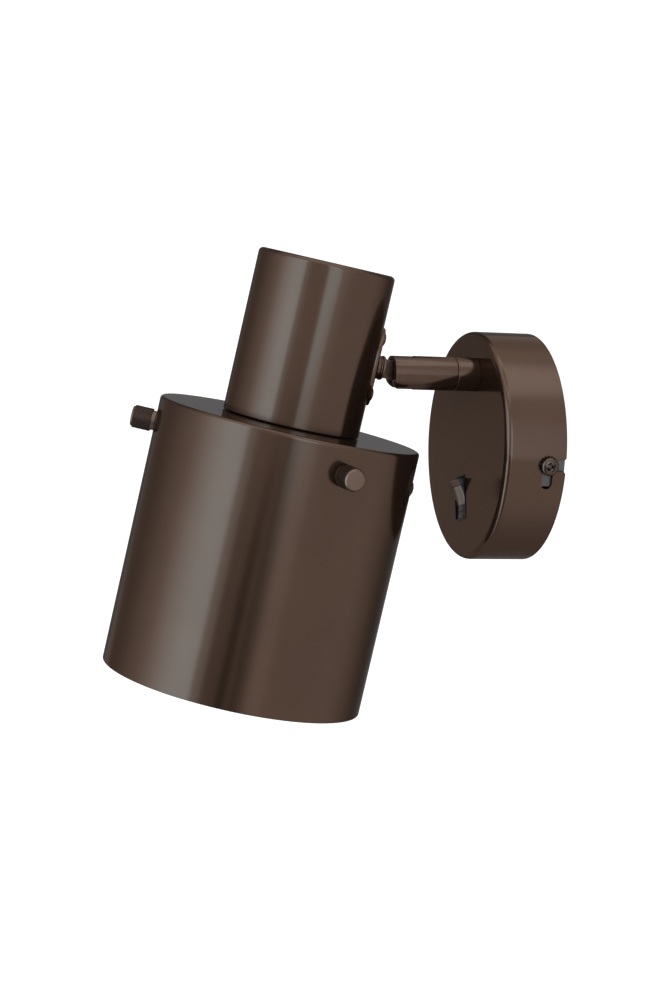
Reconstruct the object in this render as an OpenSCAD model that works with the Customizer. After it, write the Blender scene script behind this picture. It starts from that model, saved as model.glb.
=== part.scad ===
// Wall spot lamp: a round canopy with a rocker switch, a swivelling arm with a fork knuckle,
// a closed cup that hides the lamp holder, and a wide drum shade held by three thumb screws.
// Millimetres. The wall is the plane Y = 0 and the lamp reaches out along -Y. Z is up.
// The origin is the centre of the canopy on the wall.

/* [Canopy] */
// Diameter of the canopy
canopy_d = 100; // [90:1:130]
// Depth of the canopy from the wall to its face
canopy_depth = 27.4; // [26:0.2:36]
// Sheet thickness of the canopy
canopy_wall = 1.2; // [0.8:0.1:2]
// Radius of the rounded front edge of the canopy
canopy_edge_r = 2.8; // [2.2:0.1:5]

/* [Canopy fixing] */
// Width of the bayonet slots in the rim
slot_w = 4.8; // [4.4:0.1:6]
// Distance of the side screws from the wall
slot_reach = 8.1; // [7:0.1:11]
// Angle above level at which the slots open, where the side screws stand
slot_entry_angle = 10.5; // [8:0.5:20]
// Angle above level at which the slots end
slot_lock_angle = 1.5; // [-2:0.5:4]
// Thread diameter of the side screws
side_screw_d = 4; // [3:0.1:4.2]
// Head diameter of the side screws
side_head_d = 7.8; // [6:0.1:9]
// Head height of the side screws
side_head_h = 2.6; // [2:0.1:3.4]
// Outer diameter of the serrated washers
side_washer_d = 8.8; // [8:0.1:10]
// Thickness of the serrated washers
side_washer_t = 0.7; // [0.5:0.1:1.2]

/* [Wall plate] */
// Diameter of the wall plate
plate_d = 86; // [76:1:88]
// Thickness of the wall plate and of its ears
plate_t = 1.5; // [1.2:0.1:2.5]
// Width of the ears that take the side screws
ear_w = 13; // [10:0.5:16]
// Width of the slots for the wall screws
wall_slot_w = 4.5; // [4:0.1:6]
// Length of the slots for the wall screws
wall_slot_len = 12; // [8:0.5:16]
// Distance between the wall screw slots
wall_slot_pitch = 60; // [52:1:66]
// Diameter of the cable hole in the wall plate
cable_hole_d = 14; // [10:0.5:16]
// Bore of the cable grommet
grommet_bore = 9; // [6:0.5:9.5]
// Distance of the cable hole below the centre
cable_hole_drop = 10; // [8:0.5:12]

/* [Switch] */
// Distance of the switch below the centre of the canopy
switch_drop = 23.2; // [22:0.2:28]
// Distance of the switch to the side of the centre
switch_side = 4; // [0:0.5:8]
// Turn of the switch in the face of the canopy
switch_turn = 28; // [0:1:30]
// Width of the rocker
rocker_w = 11.4; // [10:0.2:14]
// Radius of the rocker about its pivot
rocker_r = 9; // [8:0.1:10]
// Angle of the rocker from its middle position
rocker_angle = 12; // [8:0.5:15]
// Depth of the switch housing behind the face
switch_depth = 13; // [11:0.5:16]

/* [Arm] */
// Outer diameter of the arm
arm_d = 14.6; // [14:0.1:17]
// Height of the arm above the centre of the canopy
arm_rise = 32.7; // [28:0.1:36]
// Length of the fixed collar at the foot of the arm
collar_len = 10.1; // [4:0.1:12]
// Distance of the knuckle pin from the wall
pin_reach = 61; // [58:0.5:90]
// Turn of the arm about its own axis as the lamp is shown
arm_turn = -11.8; // [-90:0.1:90]
// Wall thickness of the arm tube
arm_wall = 1; // [0.8:0.1:1.3]

/* [Knuckle] */
// Diameter of the knuckle pin
pin_d = 4; // [3:0.1:5]
// Length of the fork beyond the pin
fork_tip = 5.2; // [4.8:0.1:5.6]
// Width of the slot in the fork
fork_slot_w = 4.9; // [4:0.1:6]
// Length of the slot behind the pin
fork_slot_back = 5.1; // [4.8:0.1:7]
// Radius of the lower corner of the fork
fork_low_r = 4.2; // [1:0.1:5]
// Radius of the upper corner of the fork
fork_top_r = 1.2; // [0.5:0.1:5]
// Height of the flat tongue
tongue_h = 8.1; // [7:0.1:8.6]
// Diameter of the shoulder and of the washer on the tongue
shoulder_d = 10.5; // [9:0.1:12]
// Distance from the pin to the skin of the cup
stem_len = 14.3; // [13.8:0.1:20]
// Tilt of the head, its top towards the wall
head_tilt = 9.9; // [-5:0.1:60]

/* [Cup] */
// Diameter of the cup
cup_d = 58.9; // [56:0.1:66]
// Length of the cup
cup_len = 69.5; // [66:0.5:90]
// Height of the cup above the knuckle pin
cup_above = 39; // [36:0.5:50]
// Sheet thickness of the cup
cup_wall = 1; // [0.8:0.1:1.5]
// Radius of the rounded top edge of the cup
cup_edge_r = 2; // [1.5:0.1:4]

/* [Saddle plate] */
// Length of the saddle plate along the cup
saddle_len = 34; // [32:0.5:44]
// Width of the saddle plate round the cup
saddle_w = 30; // [18:0.5:36]
// Radius of the corners of the saddle plate
saddle_corner_r = 8; // [1:0.5:9]
// Thickness of the saddle plate
saddle_t = 1.3; // [1:0.1:2]
// Distance between the saddle screws
saddle_pitch = 24; // [23:0.5:28]
// Head diameter of the saddle screws
saddle_head_d = 6.6; // [6:0.1:7.5]

/* [Drum shade] */
// Diameter of the drum shade
drum_d = 112.7; // [104:0.1:140]
// Length of the drum shade with its cap
drum_len = 115.5; // [80:0.5:180]
// Sheet thickness of the drum shade and its cap
drum_wall = 1; // [0.8:0.1:1.5]
// Depth of the rounded rim of the cap
cap_rim = 1.8; // [1.4:0.1:3]
// Length of the collar of the cap inside the drum
cap_collar = 25; // [22:0.5:34]
// Gap between the cup and the cap
cup_gap = 0.7; // [0.4:0.1:3]

/* [Thumb screws] */
// Diameter of the knurled heads
thumb_d = 9.8; // [8:0.1:12]
// Length of the knurled heads
thumb_len = 8.8; // [6:0.1:14]
// Diameter of the necks behind the heads
thumb_neck_d = 8.4; // [5.5:0.1:9]
// Length of the necks behind the heads
thumb_neck_len = 1.7; // [1:0.1:3]
// Thread diameter of the thumb screws
thumb_thread_d = 4; // [3:0.1:5]
// Distance of the front and left thumb screws below the top of the drum
thumb_drop = 12.1; // [9:0.1:14]
// Distance of the rear thumb screw below the top of the drum
thumb_rear_drop = 18.8; // [12:0.1:20]

/* [Lamp holder] */
// Outer diameter of the holder's skirt
holder_d = 39.5; // [38:0.1:42]
// Inner diameter of the screw shell, for an E27 lamp cap
socket_d = 26.6; // [26.5:0.1:26.8]
// Length of the screw shell
socket_len = 23; // [21:0.5:26]
// Outer diameter of the ring that clamps the cap
ring_d = 52; // [48:0.5:56]

/* [Hidden] */
$fn = 96;

// Clearances: a seat that touches, a running fit on the radius, and room round a part
seat = 0.05;
run = 0.05;
room = 0.3;
// Past a face that is cut
cut = 1;

// Thickness and across-flats sizes of the pipe thread pieces
nipple_d = 10;
nipple_bore = 6.4;
nipple_nut_flats = 14;
nipple_nut_t = 3;
nipple_washer_t = 0.8;
m4_nut_flats = 7;
m4_nut_t = 3;
stud_d = 7;
stud_bore = 4;
stud_nut_flats = 11;
stud_nut_t = 3;
sheet = 0.3;

bronze = [0.27, 0.2, 0.17];
steel = [0.62, 0.63, 0.64];
brass = [0.78, 0.62, 0.34];
dark = [0.08, 0.08, 0.08];
ceramic = [0.9, 0.88, 0.84];

canopy_r = canopy_d / 2;
ear_x = sqrt(pow(canopy_r - canopy_wall, 2) - pow(ear_w / 2, 2)) - room;
face_back = canopy_depth - canopy_wall;
arm_start = canopy_depth + collar_len + sheet;
arm_end = pin_reach + fork_tip;
arm_bore = arm_d - 2 * arm_wall;
land_len = 4;
nipple_back = face_back - nipple_washer_t - nipple_nut_t - 4;
nipple_front = arm_start + land_len + sheet + nipple_nut_t + 1;
plug_start = pin_reach - fork_slot_back - 4.5;

cup_r = cup_d / 2;
cup_axis = cup_r + stem_len;
cup_low = cup_above - cup_len;
cap_top = cup_low - cup_gap;
drum_r = drum_d / 2;
drum_low = cap_top - drum_len;
collar_r = drum_r - drum_wall - 0.25;
collar_wall = 1.2;
tongue_t = fork_slot_w - 2 * sheet - 0.1;
shoulder_t = 1.3;
leg_t = 1.5;
leg_outer = cup_r - cup_wall - seat;

holder_r = holder_d / 2;
flange_t = 2;
skirt_top = cap_top + seat + flange_t;
ring_len = 7;
skirt_low = cap_top - drum_wall - seat - ring_len;
core_len = 11;
shell_low = skirt_low + 0.3;
core_top = shell_low + socket_len + seat + core_len;
core_r = holder_r - 3;
holder_cap_rise = 12;
holder_cap_edge = 5;
cap_end = core_top + holder_cap_rise;
holder_cap_t = 2;
recess = 4;
rivet_d = 3;
contact_depth = 1.5;
bridge_z = saddle_len / 2 + 3.5;
bridge_t = 2;

// Places a piece in the frame of the arm: its axis along -Y, turned about it
module at_arm() {
  translate([0, 0, arm_rise]) rotate([0, arm_turn, 0]) children();
}

// Places a piece in the frame of the head: Z up the axis of the cup, level with the pin
module at_head() {
  at_arm() translate([0, -pin_reach, 0]) rotate([-head_tilt, 0, 0]) translate([0, -cup_axis, 0]) children();
}

// Places a piece that stands radially on the head, its Z outwards at the given angle and height
module radial(angle, z) {
  rotate([0, 0, angle]) translate([0, 0, z]) rotate([0, 90, 0]) children();
}

// A round bar along -Y from one distance to another
module bar_y(from, to, d) {
  translate([0, -from, 0]) rotate([90, 0, 0]) cylinder(h = to - from, d = d);
}

// A tube along Z with its lower end at z
module tube_z(z, len, outer, inner) {
  translate([0, 0, z]) difference() {
    cylinder(h = len, d = outer);
    translate([0, 0, -cut]) cylinder(h = len + 2 * cut, d = inner);
  }
}

// A tube along -Y
module tube_y(from, to, outer, inner) {
  difference() {
    bar_y(from, to, outer);
    bar_y(from - cut, to + cut, inner);
  }
}

// Half outline of a closed cup: open end at 0, closed end at depth with a rounded edge
module cup_outline(r, depth, edge) {
  square([r - edge, depth]);
  square([r, depth - edge]);
  translate([r - edge, depth - edge]) circle(edge, $fn = 64);
}

// A thin cup turned about Z, open downwards at 0
module turned_cup(r, depth, wall, edge) {
  rotate_extrude() intersection() {
    difference() {
      cup_outline(r, depth, edge);
      translate([0, -cut]) cup_outline(r - wall, depth - wall + cut, max(edge - wall, 0.2));
    }
    square([r + cut, depth + cut]);
  }
}

// A hexagon nut along Z with its lower face at 0
module nut(flats, t, bore) {
  difference() {
    cylinder(h = t, d = flats / cos(30), $fn = 6);
    translate([0, 0, -cut]) cylinder(h = t + 2 * cut, d = bore);
  }
}

// A domed screw head along Z, flat side at 0, with a cross recess
module domed_head(d, h, slot) {
  dome_r = (pow(d / 2, 2) + pow(h * 0.62, 2)) / (2 * h * 0.62);
  difference() {
    rotate_extrude() intersection() {
      translate([0, h - dome_r]) circle(dome_r, $fn = 96);
      square([d / 2, h]);
    }
    for (a = [0, 90]) rotate([0, 0, a]) translate([-slot / 2, -slot / 8, h * 0.45]) cube([slot, slot / 4, h]);
  }
}

// A toothed lock washer along Z with its lower face at 0
module toothed_washer(d, bore, t, teeth) {
  difference() {
    union() {
      cylinder(h = t * 0.7, d = d - 1.6);
      for (i = [0:teeth - 1]) rotate([0, 0, i * 360 / teeth]) translate([d / 2 - 1.6, -d * 0.075, 0])
        cube([1.6, d * 0.15, t]);
    }
    translate([0, 0, -cut]) cylinder(h = t + 2 * cut, d = bore);
  }
}

// The two side screw places on the rim, Z outwards
module side_places() {
  for (a = [0, 180]) rotate([0, a - slot_entry_angle, 0]) translate([0, -slot_reach, 0]) rotate([0, 90, 0])
    children();
}

module wall_plate() {
  color(steel) difference() {
    union() {
      bar_y(0, plate_t, plate_d);
      for (a = [0, 180]) rotate([0, a - slot_entry_angle, 0]) {
        translate([0, -plate_t, -ear_w / 2]) cube([ear_x, plate_t, ear_w]);
        translate([ear_x - plate_t, -slot_reach - ear_w / 2, -ear_w / 2])
          cube([plate_t, slot_reach + ear_w / 2, ear_w]);
      }
    }
    side_places() cylinder(h = canopy_r, d = side_screw_d + 2 * run);
    for (s = [-1, 1]) translate([s * wall_slot_pitch / 2, 0, 0]) {
      for (e = [-1, 1]) translate([e * (wall_slot_len - wall_slot_w) / 2, 0, 0])
        bar_y(-cut, plate_t + cut, wall_slot_w);
      translate([-(wall_slot_len - wall_slot_w) / 2, -plate_t - cut, -wall_slot_w / 2])
        cube([wall_slot_len - wall_slot_w, plate_t + 2 * cut, wall_slot_w]);
    }
    translate([0, 0, -cable_hole_drop]) bar_y(-cut, plate_t + cut, cable_hole_d);
    earth_place() bar_y(-cut, plate_t + cut, 4 + 2 * run);
    block_place() translate([-block_pitch / 2, 0, block_len / 2]) bar_y(-cut, plate_t + cut, 3 + 2 * run);
  }
}

// One bayonet slot in the rim at the +X side, open at the wall with a chamfered mouth
module bayonet() {
  half = slot_w / 2;
  rise = canopy_r * sin((slot_entry_angle - slot_lock_angle) / 2);
  flare = 1.9;
  rotate([0, -(slot_entry_angle + slot_lock_angle) / 2, 0]) translate([canopy_r - canopy_wall - 2, 0, 0])
    rotate([90, 0, 90]) linear_extrude(canopy_r) {
      translate([-slot_reach, rise - half]) square([slot_reach + cut, slot_w]);
      translate([-slot_reach - half, -rise]) square([slot_w, 2 * rise]);
      for (z = [-rise, rise]) translate([-slot_reach, z]) circle(half);
      polygon([[-0.9, rise - half], [cut, rise - half - flare], [cut, rise + half + flare],
               [-0.9, rise + half]]);
    }
}

module canopy_cover() {
  color(bronze) difference() {
    rotate([90, 0, 0]) turned_cup(canopy_r, canopy_depth, canopy_wall, canopy_edge_r);
    for (a = [0, 180]) rotate([0, a, 0]) bayonet();
    translate([0, 0, arm_rise]) bar_y(face_back - cut, canopy_depth + cut, nipple_d + 2 * run);
    at_switch() translate([0, 0, -canopy_wall - cut]) snout(room / 2, canopy_wall + 2 * cut);
  }
}

module side_screws() {
  stand = canopy_r + seat + side_washer_t + seat;
  color(steel) side_places() {
    translate([0, 0, stand]) domed_head(side_head_d, side_head_h, side_head_d * 0.6);
    translate([0, 0, ear_x - plate_t - 3]) cylinder(h = stand - ear_x + plate_t + 3.2, d = side_screw_d);
  }
}

module side_washers() {
  color(steel) side_places() translate([0, 0, canopy_r + seat])
    toothed_washer(side_washer_d, side_screw_d + 2 * run, side_washer_t, 12);
}

// Place of the earth screw on the wall plate
module earth_place() {
  translate([-22, 0, -22]) children();
}

module earth_screw() {
  color(brass) earth_place() rotate([90, 0, 0]) {
    translate([0, 0, plate_t + seat]) cylinder(h = 1, d = 9);
    translate([0, 0, plate_t + seat + 1]) domed_head(7.8, 2.6, 4.6);
    translate([0, 0, 0.1]) cylinder(h = plate_t + 1, d = 4);
  }
}

module cable_grommet() {
  color(dark) translate([0, 0, -cable_hole_drop]) rotate([90, 0, 0]) difference() {
    union() {
      translate([0, 0, 0.1]) cylinder(h = plate_t, d = cable_hole_d - 2 * run);
      translate([0, 0, plate_t + seat]) cylinder(h = 2, d = cable_hole_d + 4);
    }
    translate([0, 0, -cut]) cylinder(h = plate_t + 4, d = grommet_bore);
  }
}

block_w = 28;
block_len = 15;
block_h = 13;
block_pitch = 9;
tube_d = 5;

// The terminal block stands on the plate, between the cable hole and the nipple
module block_place() {
  translate([0, 0, cable_hole_d / 2 + 3 - cable_hole_drop]) children();
}

module terminal_block() {
  color(ceramic) block_place() difference() {
    translate([-block_w / 2, -plate_t - seat - block_h, 0]) cube([block_w, block_h, block_len]);
    for (i = [-1:1]) translate([i * block_pitch, -plate_t - block_h / 2, 0]) {
      translate([0, 0, -cut]) cylinder(h = block_len + 2 * cut, d = tube_d + 2 * run);
      for (z = [0.27, 0.73]) translate([0, 0, z * block_len]) bar_y(0, block_h, 3.4);
    }
    for (s = [-0.5, 0.5]) translate([s * block_pitch, 0, block_len / 2])
      bar_y(plate_t, plate_t + block_h + cut, 3.2);
  }
}

module terminal_tubes() {
  color(brass) block_place() for (i = [-1:1]) translate([i * block_pitch, -plate_t - block_h / 2, 1.5])
    difference() {
      cylinder(h = block_len - 3, d = tube_d);
      translate([0, 0, -cut]) cylinder(h = block_len, d = 3);
      for (z = [0.27, 0.73]) translate([0, 0, z * block_len - 1.5]) bar_y(0, block_h, 2.6 + 2 * run);
    }
}

module terminal_screws() {
  color(steel) block_place() for (i = [-1:1], z = [0.27, 0.73])
    translate([i * block_pitch, -plate_t - block_h / 2, z * block_len]) difference() {
      bar_y(0.6, block_h / 2 - 1.2, 2.6);
      translate([-2, -block_h / 2 + 0.8, -0.25]) cube([4, 1.4, 0.5]);
    }
}

module block_screw() {
  color(steel) block_place() translate([-block_pitch / 2, 0, block_len / 2]) rotate([90, 0, 0]) {
    translate([0, 0, plate_t + seat + block_h + seat]) domed_head(5.6, 2, 3.4);
    translate([0, 0, 0.1]) cylinder(h = plate_t + block_h + 0.4, d = 3);
  }
}

rocker_pivot = 1;
trunnion_d = 2;
trunnion_out = 0.6;
snout_rim = 0.7;
cavity_w = rocker_w + 0.4;
cavity_len = 2 * rocker_r + 0.4;

// Places a piece at the switch: Z out of the face, Y along the rocker, X along its pivot
module at_switch() {
  translate([switch_side, -canopy_depth, -switch_drop]) rotate([0, -switch_turn, 0]) rotate([90, 0, 0])
    children();
}

// The rim of the switch that shows in the face
module snout(grow, len) {
  w = cavity_w + 2 * snout_rim + 2 * grow;
  l = cavity_len + 2 * snout_rim + 2 * grow;
  r = 1.6;
  linear_extrude(len) {
    square([w - 2 * r, l], center = true);
    square([w, l - 2 * r], center = true);
    for (x = [-1, 1], y = [-1, 1]) translate([x * (w / 2 - r), y * (l / 2 - r)]) circle(r);
  }
}

module switch_housing() {
  snout_out = 0.25;
  body_w = cavity_w + 5;
  body_l = cavity_len + 4;
  color(dark) at_switch() difference() {
    union() {
      translate([0, 0, -canopy_wall - 0.5]) snout(0, canopy_wall + 0.5 + snout_out);
      translate([-body_w / 2, -body_l / 2, -canopy_wall - seat - switch_depth])
        cube([body_w, body_l, switch_depth]);
    }
    translate([-cavity_w / 2, -cavity_len / 2, -9]) cube([cavity_w, cavity_len, 12]);
    translate([-body_w, 0, -rocker_pivot]) rotate([0, 90, 0])
      cylinder(h = 2 * body_w, d = trunnion_d + 2 * run);
  }
}

module switch_tabs() {
  color(brass) at_switch() for (y = [-6, 0, 6])
    translate([-2.4, y - 0.4, -canopy_wall - 2 * seat - switch_depth - 5.2]) cube([4.8, 0.8, 5.2]);
}

// Height of the rocker's dished face at a distance along it, in its middle position
function dish(y) = 0.23 + 0.024 * y * y;

module switch_rocker() {
  lip = 0.62 * rocker_r;
  grip = dish(lip) + 0.9;
  face = [for (i = [-8:8]) let (y = i * lip / 8) [y, dish(y)]];
  color(bronze) at_switch() translate([0, 0, -rocker_pivot]) rotate([rocker_angle, 0, 0]) {
    translate([-rocker_w / 2, 0, 0]) rotate([90, 0, 90]) linear_extrude(rocker_w) intersection() {
      circle(rocker_r);
      translate([0, rocker_pivot]) polygon(concat([[-rocker_r, -6], [-rocker_r, grip]], face,
        [[rocker_r, grip], [rocker_r, -6]]));
    }
    translate([-rocker_w / 2 - trunnion_out, 0, 0]) rotate([0, 90, 0])
      cylinder(h = rocker_w + 2 * trunnion_out, d = trunnion_d);
  }
}

module arm_collar() {
  color(bronze) at_arm() tube_y(canopy_depth + seat, canopy_depth + collar_len, arm_d, nipple_d + 2 * run);
}

module swivel_nipple() {
  color(brass) at_arm() tube_y(nipple_back, nipple_front, nipple_d, nipple_bore);
}

module nipple_washer() {
  color(steel) translate([0, 0, arm_rise]) translate([0, -face_back + seat, 0]) rotate([-90, 0, 0])
    toothed_washer(16, nipple_d + 2 * run, nipple_washer_t, 14);
}

module nipple_nut() {
  color(steel) translate([0, 0, arm_rise]) translate([0, -face_back + nipple_washer_t + 2 * seat, 0])
    rotate([-90, 0, 0]) nut(nipple_nut_flats, nipple_nut_t, nipple_d + 2 * run);
}

module swivel_washer() {
  color(dark) at_arm()
    tube_y(canopy_depth + collar_len + seat, arm_start - seat, arm_d - 0.6, nipple_d + 2 * run);
}

module swivel_nut() {
  z = arm_start + land_len + sheet;
  color(steel) at_arm() tube_y(z, z + nipple_nut_t, arm_bore - 0.6, nipple_d + 2 * run);
}

// The slot of the fork, and the rounded corners of its tip, cut from the arm
module fork_cuts() {
  translate([-fork_slot_w / 2, -arm_end - cut, -arm_d])
    cube([fork_slot_w, fork_slot_back + fork_tip + cut, 2 * arm_d]);
}

// Side view of the fork's end, its lower corner well rounded and its upper one little
module fork_shape(tip) {
  translate([-arm_d, 0, 0]) rotate([90, 0, 90]) linear_extrude(2 * arm_d) {
    translate([-tip + fork_low_r, -arm_d]) square([tip, 2 * arm_d]);
    translate([-tip, -arm_d / 2 + fork_low_r]) square([fork_low_r + 1, arm_d - fork_low_r - fork_top_r]);
    translate([-tip + fork_top_r, 0]) square([fork_low_r, arm_d / 2]);
    translate([-tip + fork_low_r, -arm_d / 2 + fork_low_r]) circle(fork_low_r);
    translate([-tip + fork_top_r, arm_d / 2 - fork_top_r]) circle(fork_top_r);
  }
}

module arm_tube() {
  color(bronze) at_arm() difference() {
    intersection() {
      bar_y(arm_start, arm_end, arm_d);
      fork_shape(arm_end);
    }
    bar_y(arm_start - cut, arm_start + land_len + cut, nipple_d + 2 * run);
    bar_y(arm_start + land_len, arm_end + cut, arm_bore);
    fork_cuts();
    pin_hole(0);
  }
}

module arm_plug() {
  color(bronze) at_arm() difference() {
    intersection() {
      bar_y(plug_start, arm_end - seat, arm_bore - 2 * run);
      fork_shape(arm_end - seat);
    }
    fork_cuts();
    bar_y(plug_start - cut, pin_reach, 4);
    pin_hole(0);
  }
}

// The bore for the knuckle pin across the arm
module pin_hole(extra) {
  translate([-arm_d, -pin_reach, 0]) rotate([0, 90, 0]) cylinder(h = 2 * arm_d, d = pin_d + 2 * run + extra);
}

module knuckle_pin() {
  reach = sqrt(pow(arm_d / 2, 2) - pow(pin_d / 2, 2)) - 0.1;
  color(bronze) at_arm() translate([-reach, -pin_reach, 0]) rotate([0, 90, 0])
    cylinder(h = 2 * reach, d = pin_d);
}

module friction_washers() {
  color(steel) at_arm() for (s = [-1, 1]) translate([s * (fork_slot_w - sheet) / 2, -pin_reach, 0])
    rotate([0, 90, 0]) difference() {
      cylinder(h = sheet - 0.06, d = tongue_h - 1, center = true);
      cylinder(h = 2, d = pin_d + 2 * run, center = true);
    }
}

// Places a piece at the pin in the frame of the head: Z along the stem towards the cup
module at_stem() {
  translate([0, cup_axis, 0]) rotate([90, 0, 0]) children();
}

module knuckle_tongue() {
  plate_face = stem_len - saddle_t;
  washer_face = plate_face - 2.6;
  stud_end = stem_len + cup_wall + 2 * seat + leg_t + stud_nut_t + 1.5;
  color(bronze) at_head() at_stem() difference() {
    union() {
      rotate([0, 90, 0]) cylinder(h = tongue_t, d = tongue_h, center = true);
      translate([-tongue_t / 2, -tongue_h / 2, 0]) cube([tongue_t, tongue_h, washer_face - shoulder_t + 0.5]);
      translate([0, 0, washer_face - shoulder_t]) {
        cylinder(h = shoulder_t / 2, d1 = shoulder_d - shoulder_t, d2 = shoulder_d);
        translate([0, 0, shoulder_t / 2]) cylinder(h = shoulder_t / 2 - seat, d = shoulder_d);
      }
      translate([0, 0, washer_face - shoulder_t / 2])
        cylinder(h = stud_end - washer_face + shoulder_t / 2, d = stud_d);
    }
    rotate([0, 90, 0]) cylinder(h = 2 * tongue_h, d = pin_d + 2 * run, center = true);
    translate([0, 0, pin_d]) cylinder(h = stud_end, d = min(stud_bore, tongue_t - 1.4));
  }
}

module knuckle_washer() {
  plate_face = stem_len - saddle_t;
  color(bronze) at_head() at_stem() translate([0, 0, plate_face - 2.6]) difference() {
    cylinder(h = 2.6 - seat, d = shoulder_d);
    translate([0, 0, -cut]) cylinder(h = 5, d = stud_d + 2 * run);
  }
}

module knuckle_nut() {
  face = stem_len + cup_wall + 3 * seat + leg_t + leg_sag(stud_nut_flats);
  color(steel) at_head() at_stem() translate([0, 0, face]) nut(stud_nut_flats, stud_nut_t, stud_d + 2 * run);
}

// How far the round inside of the bridge's leg stands in over the width of a flat nut
function leg_sag(flats) = (leg_outer - leg_t) - sqrt(pow(leg_outer - leg_t, 2) - pow(flats / cos(30) / 2, 2));

// A curved plate on a cylinder about Z, centred at the wall side of the head
module curved_plate(inner, t, width, low, high) {
  half = width / (inner + t) * 90 / PI;
  rotate([0, 0, 90 - half]) translate([0, 0, low]) rotate_extrude(angle = 2 * half)
    translate([inner, 0]) square([t, high - low]);
}

// The holes that the saddle screws and the stem share, as bars out of the head's axis
module saddle_bars(grow) {
  for (s = [-1, 1]) radial(90, s * saddle_pitch / 2) cylinder(h = 2 * cup_r, d = 4 + grow);
  radial(90, 0) cylinder(h = 2 * cup_r, d = stud_d + grow);
}

module saddle_plate() {
  w = 2 * (cup_r + saddle_t) * sin(saddle_w / (cup_r + saddle_t) * 90 / PI);
  color(bronze) at_head() difference() {
    intersection() {
      curved_plate(cup_r + seat, saddle_t - seat, saddle_w, -saddle_len / 2, saddle_len / 2);
      translate([0, cup_r + saddle_t + cut, 0]) rotate([90, 0, 0]) linear_extrude(cup_r) {
        square([w - 2 * saddle_corner_r, saddle_len], center = true);
        square([w, saddle_len - 2 * saddle_corner_r], center = true);
        for (x = [-1, 1], z = [-1, 1])
          translate([x * (w / 2 - saddle_corner_r), z * (saddle_len / 2 - saddle_corner_r)])
            circle(saddle_corner_r);
      }
    }
    saddle_bars(2 * run);
  }
}

module saddle_screws() {
  inner = leg_outer - leg_t - m4_nut_t - leg_sag(m4_nut_flats) - 1.2;
  color(bronze) at_head() for (s = [-1, 1]) radial(90, s * saddle_pitch / 2) {
    translate([0, 0, cup_r + saddle_t + seat]) domed_head(saddle_head_d, 2, saddle_head_d * 0.55);
    translate([0, 0, inner]) cylinder(h = cup_r + saddle_t + 0.3 - inner, d = 4);
  }
}

module saddle_nuts() {
  face = leg_outer - leg_t - m4_nut_t - leg_sag(m4_nut_flats) - seat;
  color(steel) at_head() for (s = [-1, 1]) radial(90, s * saddle_pitch / 2)
    translate([0, 0, face]) nut(m4_nut_flats, m4_nut_t, 4 + 2 * run);
}

module socket_cup() {
  color(bronze) at_head() difference() {
    translate([0, 0, cup_low]) turned_cup(cup_r, cup_len, cup_wall, cup_edge_r);
    saddle_bars(2 * run);
  }
}

module holder_bridge() {
  leg_w = 16;
  color(steel) at_head() difference() {
    union() {
      curved_plate(leg_outer - leg_t, leg_t, leg_w, -saddle_len / 2, bridge_z + bridge_t);
      translate([0, 0, bridge_z]) intersection() {
        cylinder(h = bridge_t, r = leg_outer - leg_t / 2);
        union() {
          cylinder(h = bridge_t, d = leg_w + 6);
          translate([-leg_w / 2 + 0.6, 0, 0]) cube([leg_w - 1.2, cup_r, bridge_t]);
        }
      }
    }
    saddle_bars(2 * run);
    translate([0, 0, bridge_z - cut]) cylinder(h = bridge_t + 2 * cut, d = nipple_d + 2 * run);
  }
}

module holder_nipple() {
  low = cap_end - 7;
  color(brass) at_head() tube_z(low, bridge_z + bridge_t + nipple_nut_t + 1.5 - low, nipple_d, nipple_bore);
}

module holder_nuts() {
  above = bridge_z + bridge_t + seat;
  below = bridge_z - seat - nipple_nut_t;
  inside = cap_end - holder_cap_t - seat - nipple_nut_t;
  color(steel) at_head() for (z = [above, below, inside])
    translate([0, 0, z]) nut(nipple_nut_flats, nipple_nut_t, nipple_d + 2 * run);
}

module holder_cap() {
  low = core_top - core_len / 2;
  color(dark) at_head() difference() {
    translate([0, 0, low]) turned_cup(holder_r, cap_end - low, holder_cap_t, holder_cap_edge);
    translate([0, 0, cap_end - holder_cap_t - cut])
      cylinder(h = holder_cap_t + 2 * cut, d = nipple_d + 2 * run);
  }
}

module holder_core() {
  low = core_top - core_len;
  color(ceramic) at_head() difference() {
    translate([0, 0, low]) cylinder(h = core_len, r = holder_r - 2 - run);
    for (s = [-1, 1]) translate([s * 10, 0, low - cut]) cylinder(h = core_len + 2 * cut, d = 3.4);
    translate([0, 0, low - cut]) cylinder(h = core_len + 2 * cut, d = rivet_d + 2 * run);
    translate([0, 0, low - cut]) cylinder(h = recess + cut, d = socket_d + 1.6 + 2 * room);
  }
}

module screw_shell() {
  top = core_top - core_len + recess - contact_depth - 0.1;
  color(brass) at_head() tube_z(shell_low, top - shell_low, socket_d + 1.2, socket_d);
}

module centre_contact() {
  low = core_top - core_len;
  color(brass) at_head() {
    translate([0, 0, low + recess - contact_depth]) cylinder(h = contact_depth - 0.1, d = 8);
    translate([0, 0, low + recess - 0.2]) cylinder(h = core_len - 2.5, d = rivet_d);
  }
}

module holder_skirt() {
  join = core_top - core_len / 2 - seat;
  color(dark) at_head() difference() {
    union() {
      translate([0, 0, skirt_low]) cylinder(h = join - skirt_low, r = holder_r);
      translate([0, 0, cap_top + seat]) cylinder(h = flange_t, r = holder_r + 3.2);
    }
    translate([0, 0, core_top - core_len - seat]) cylinder(h = core_len, r = holder_r - 2);
    translate([0, 0, skirt_low - cut]) cylinder(h = join - skirt_low + 2 * cut, d = socket_d + 1.2 + 2 * run);
  }
}

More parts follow.
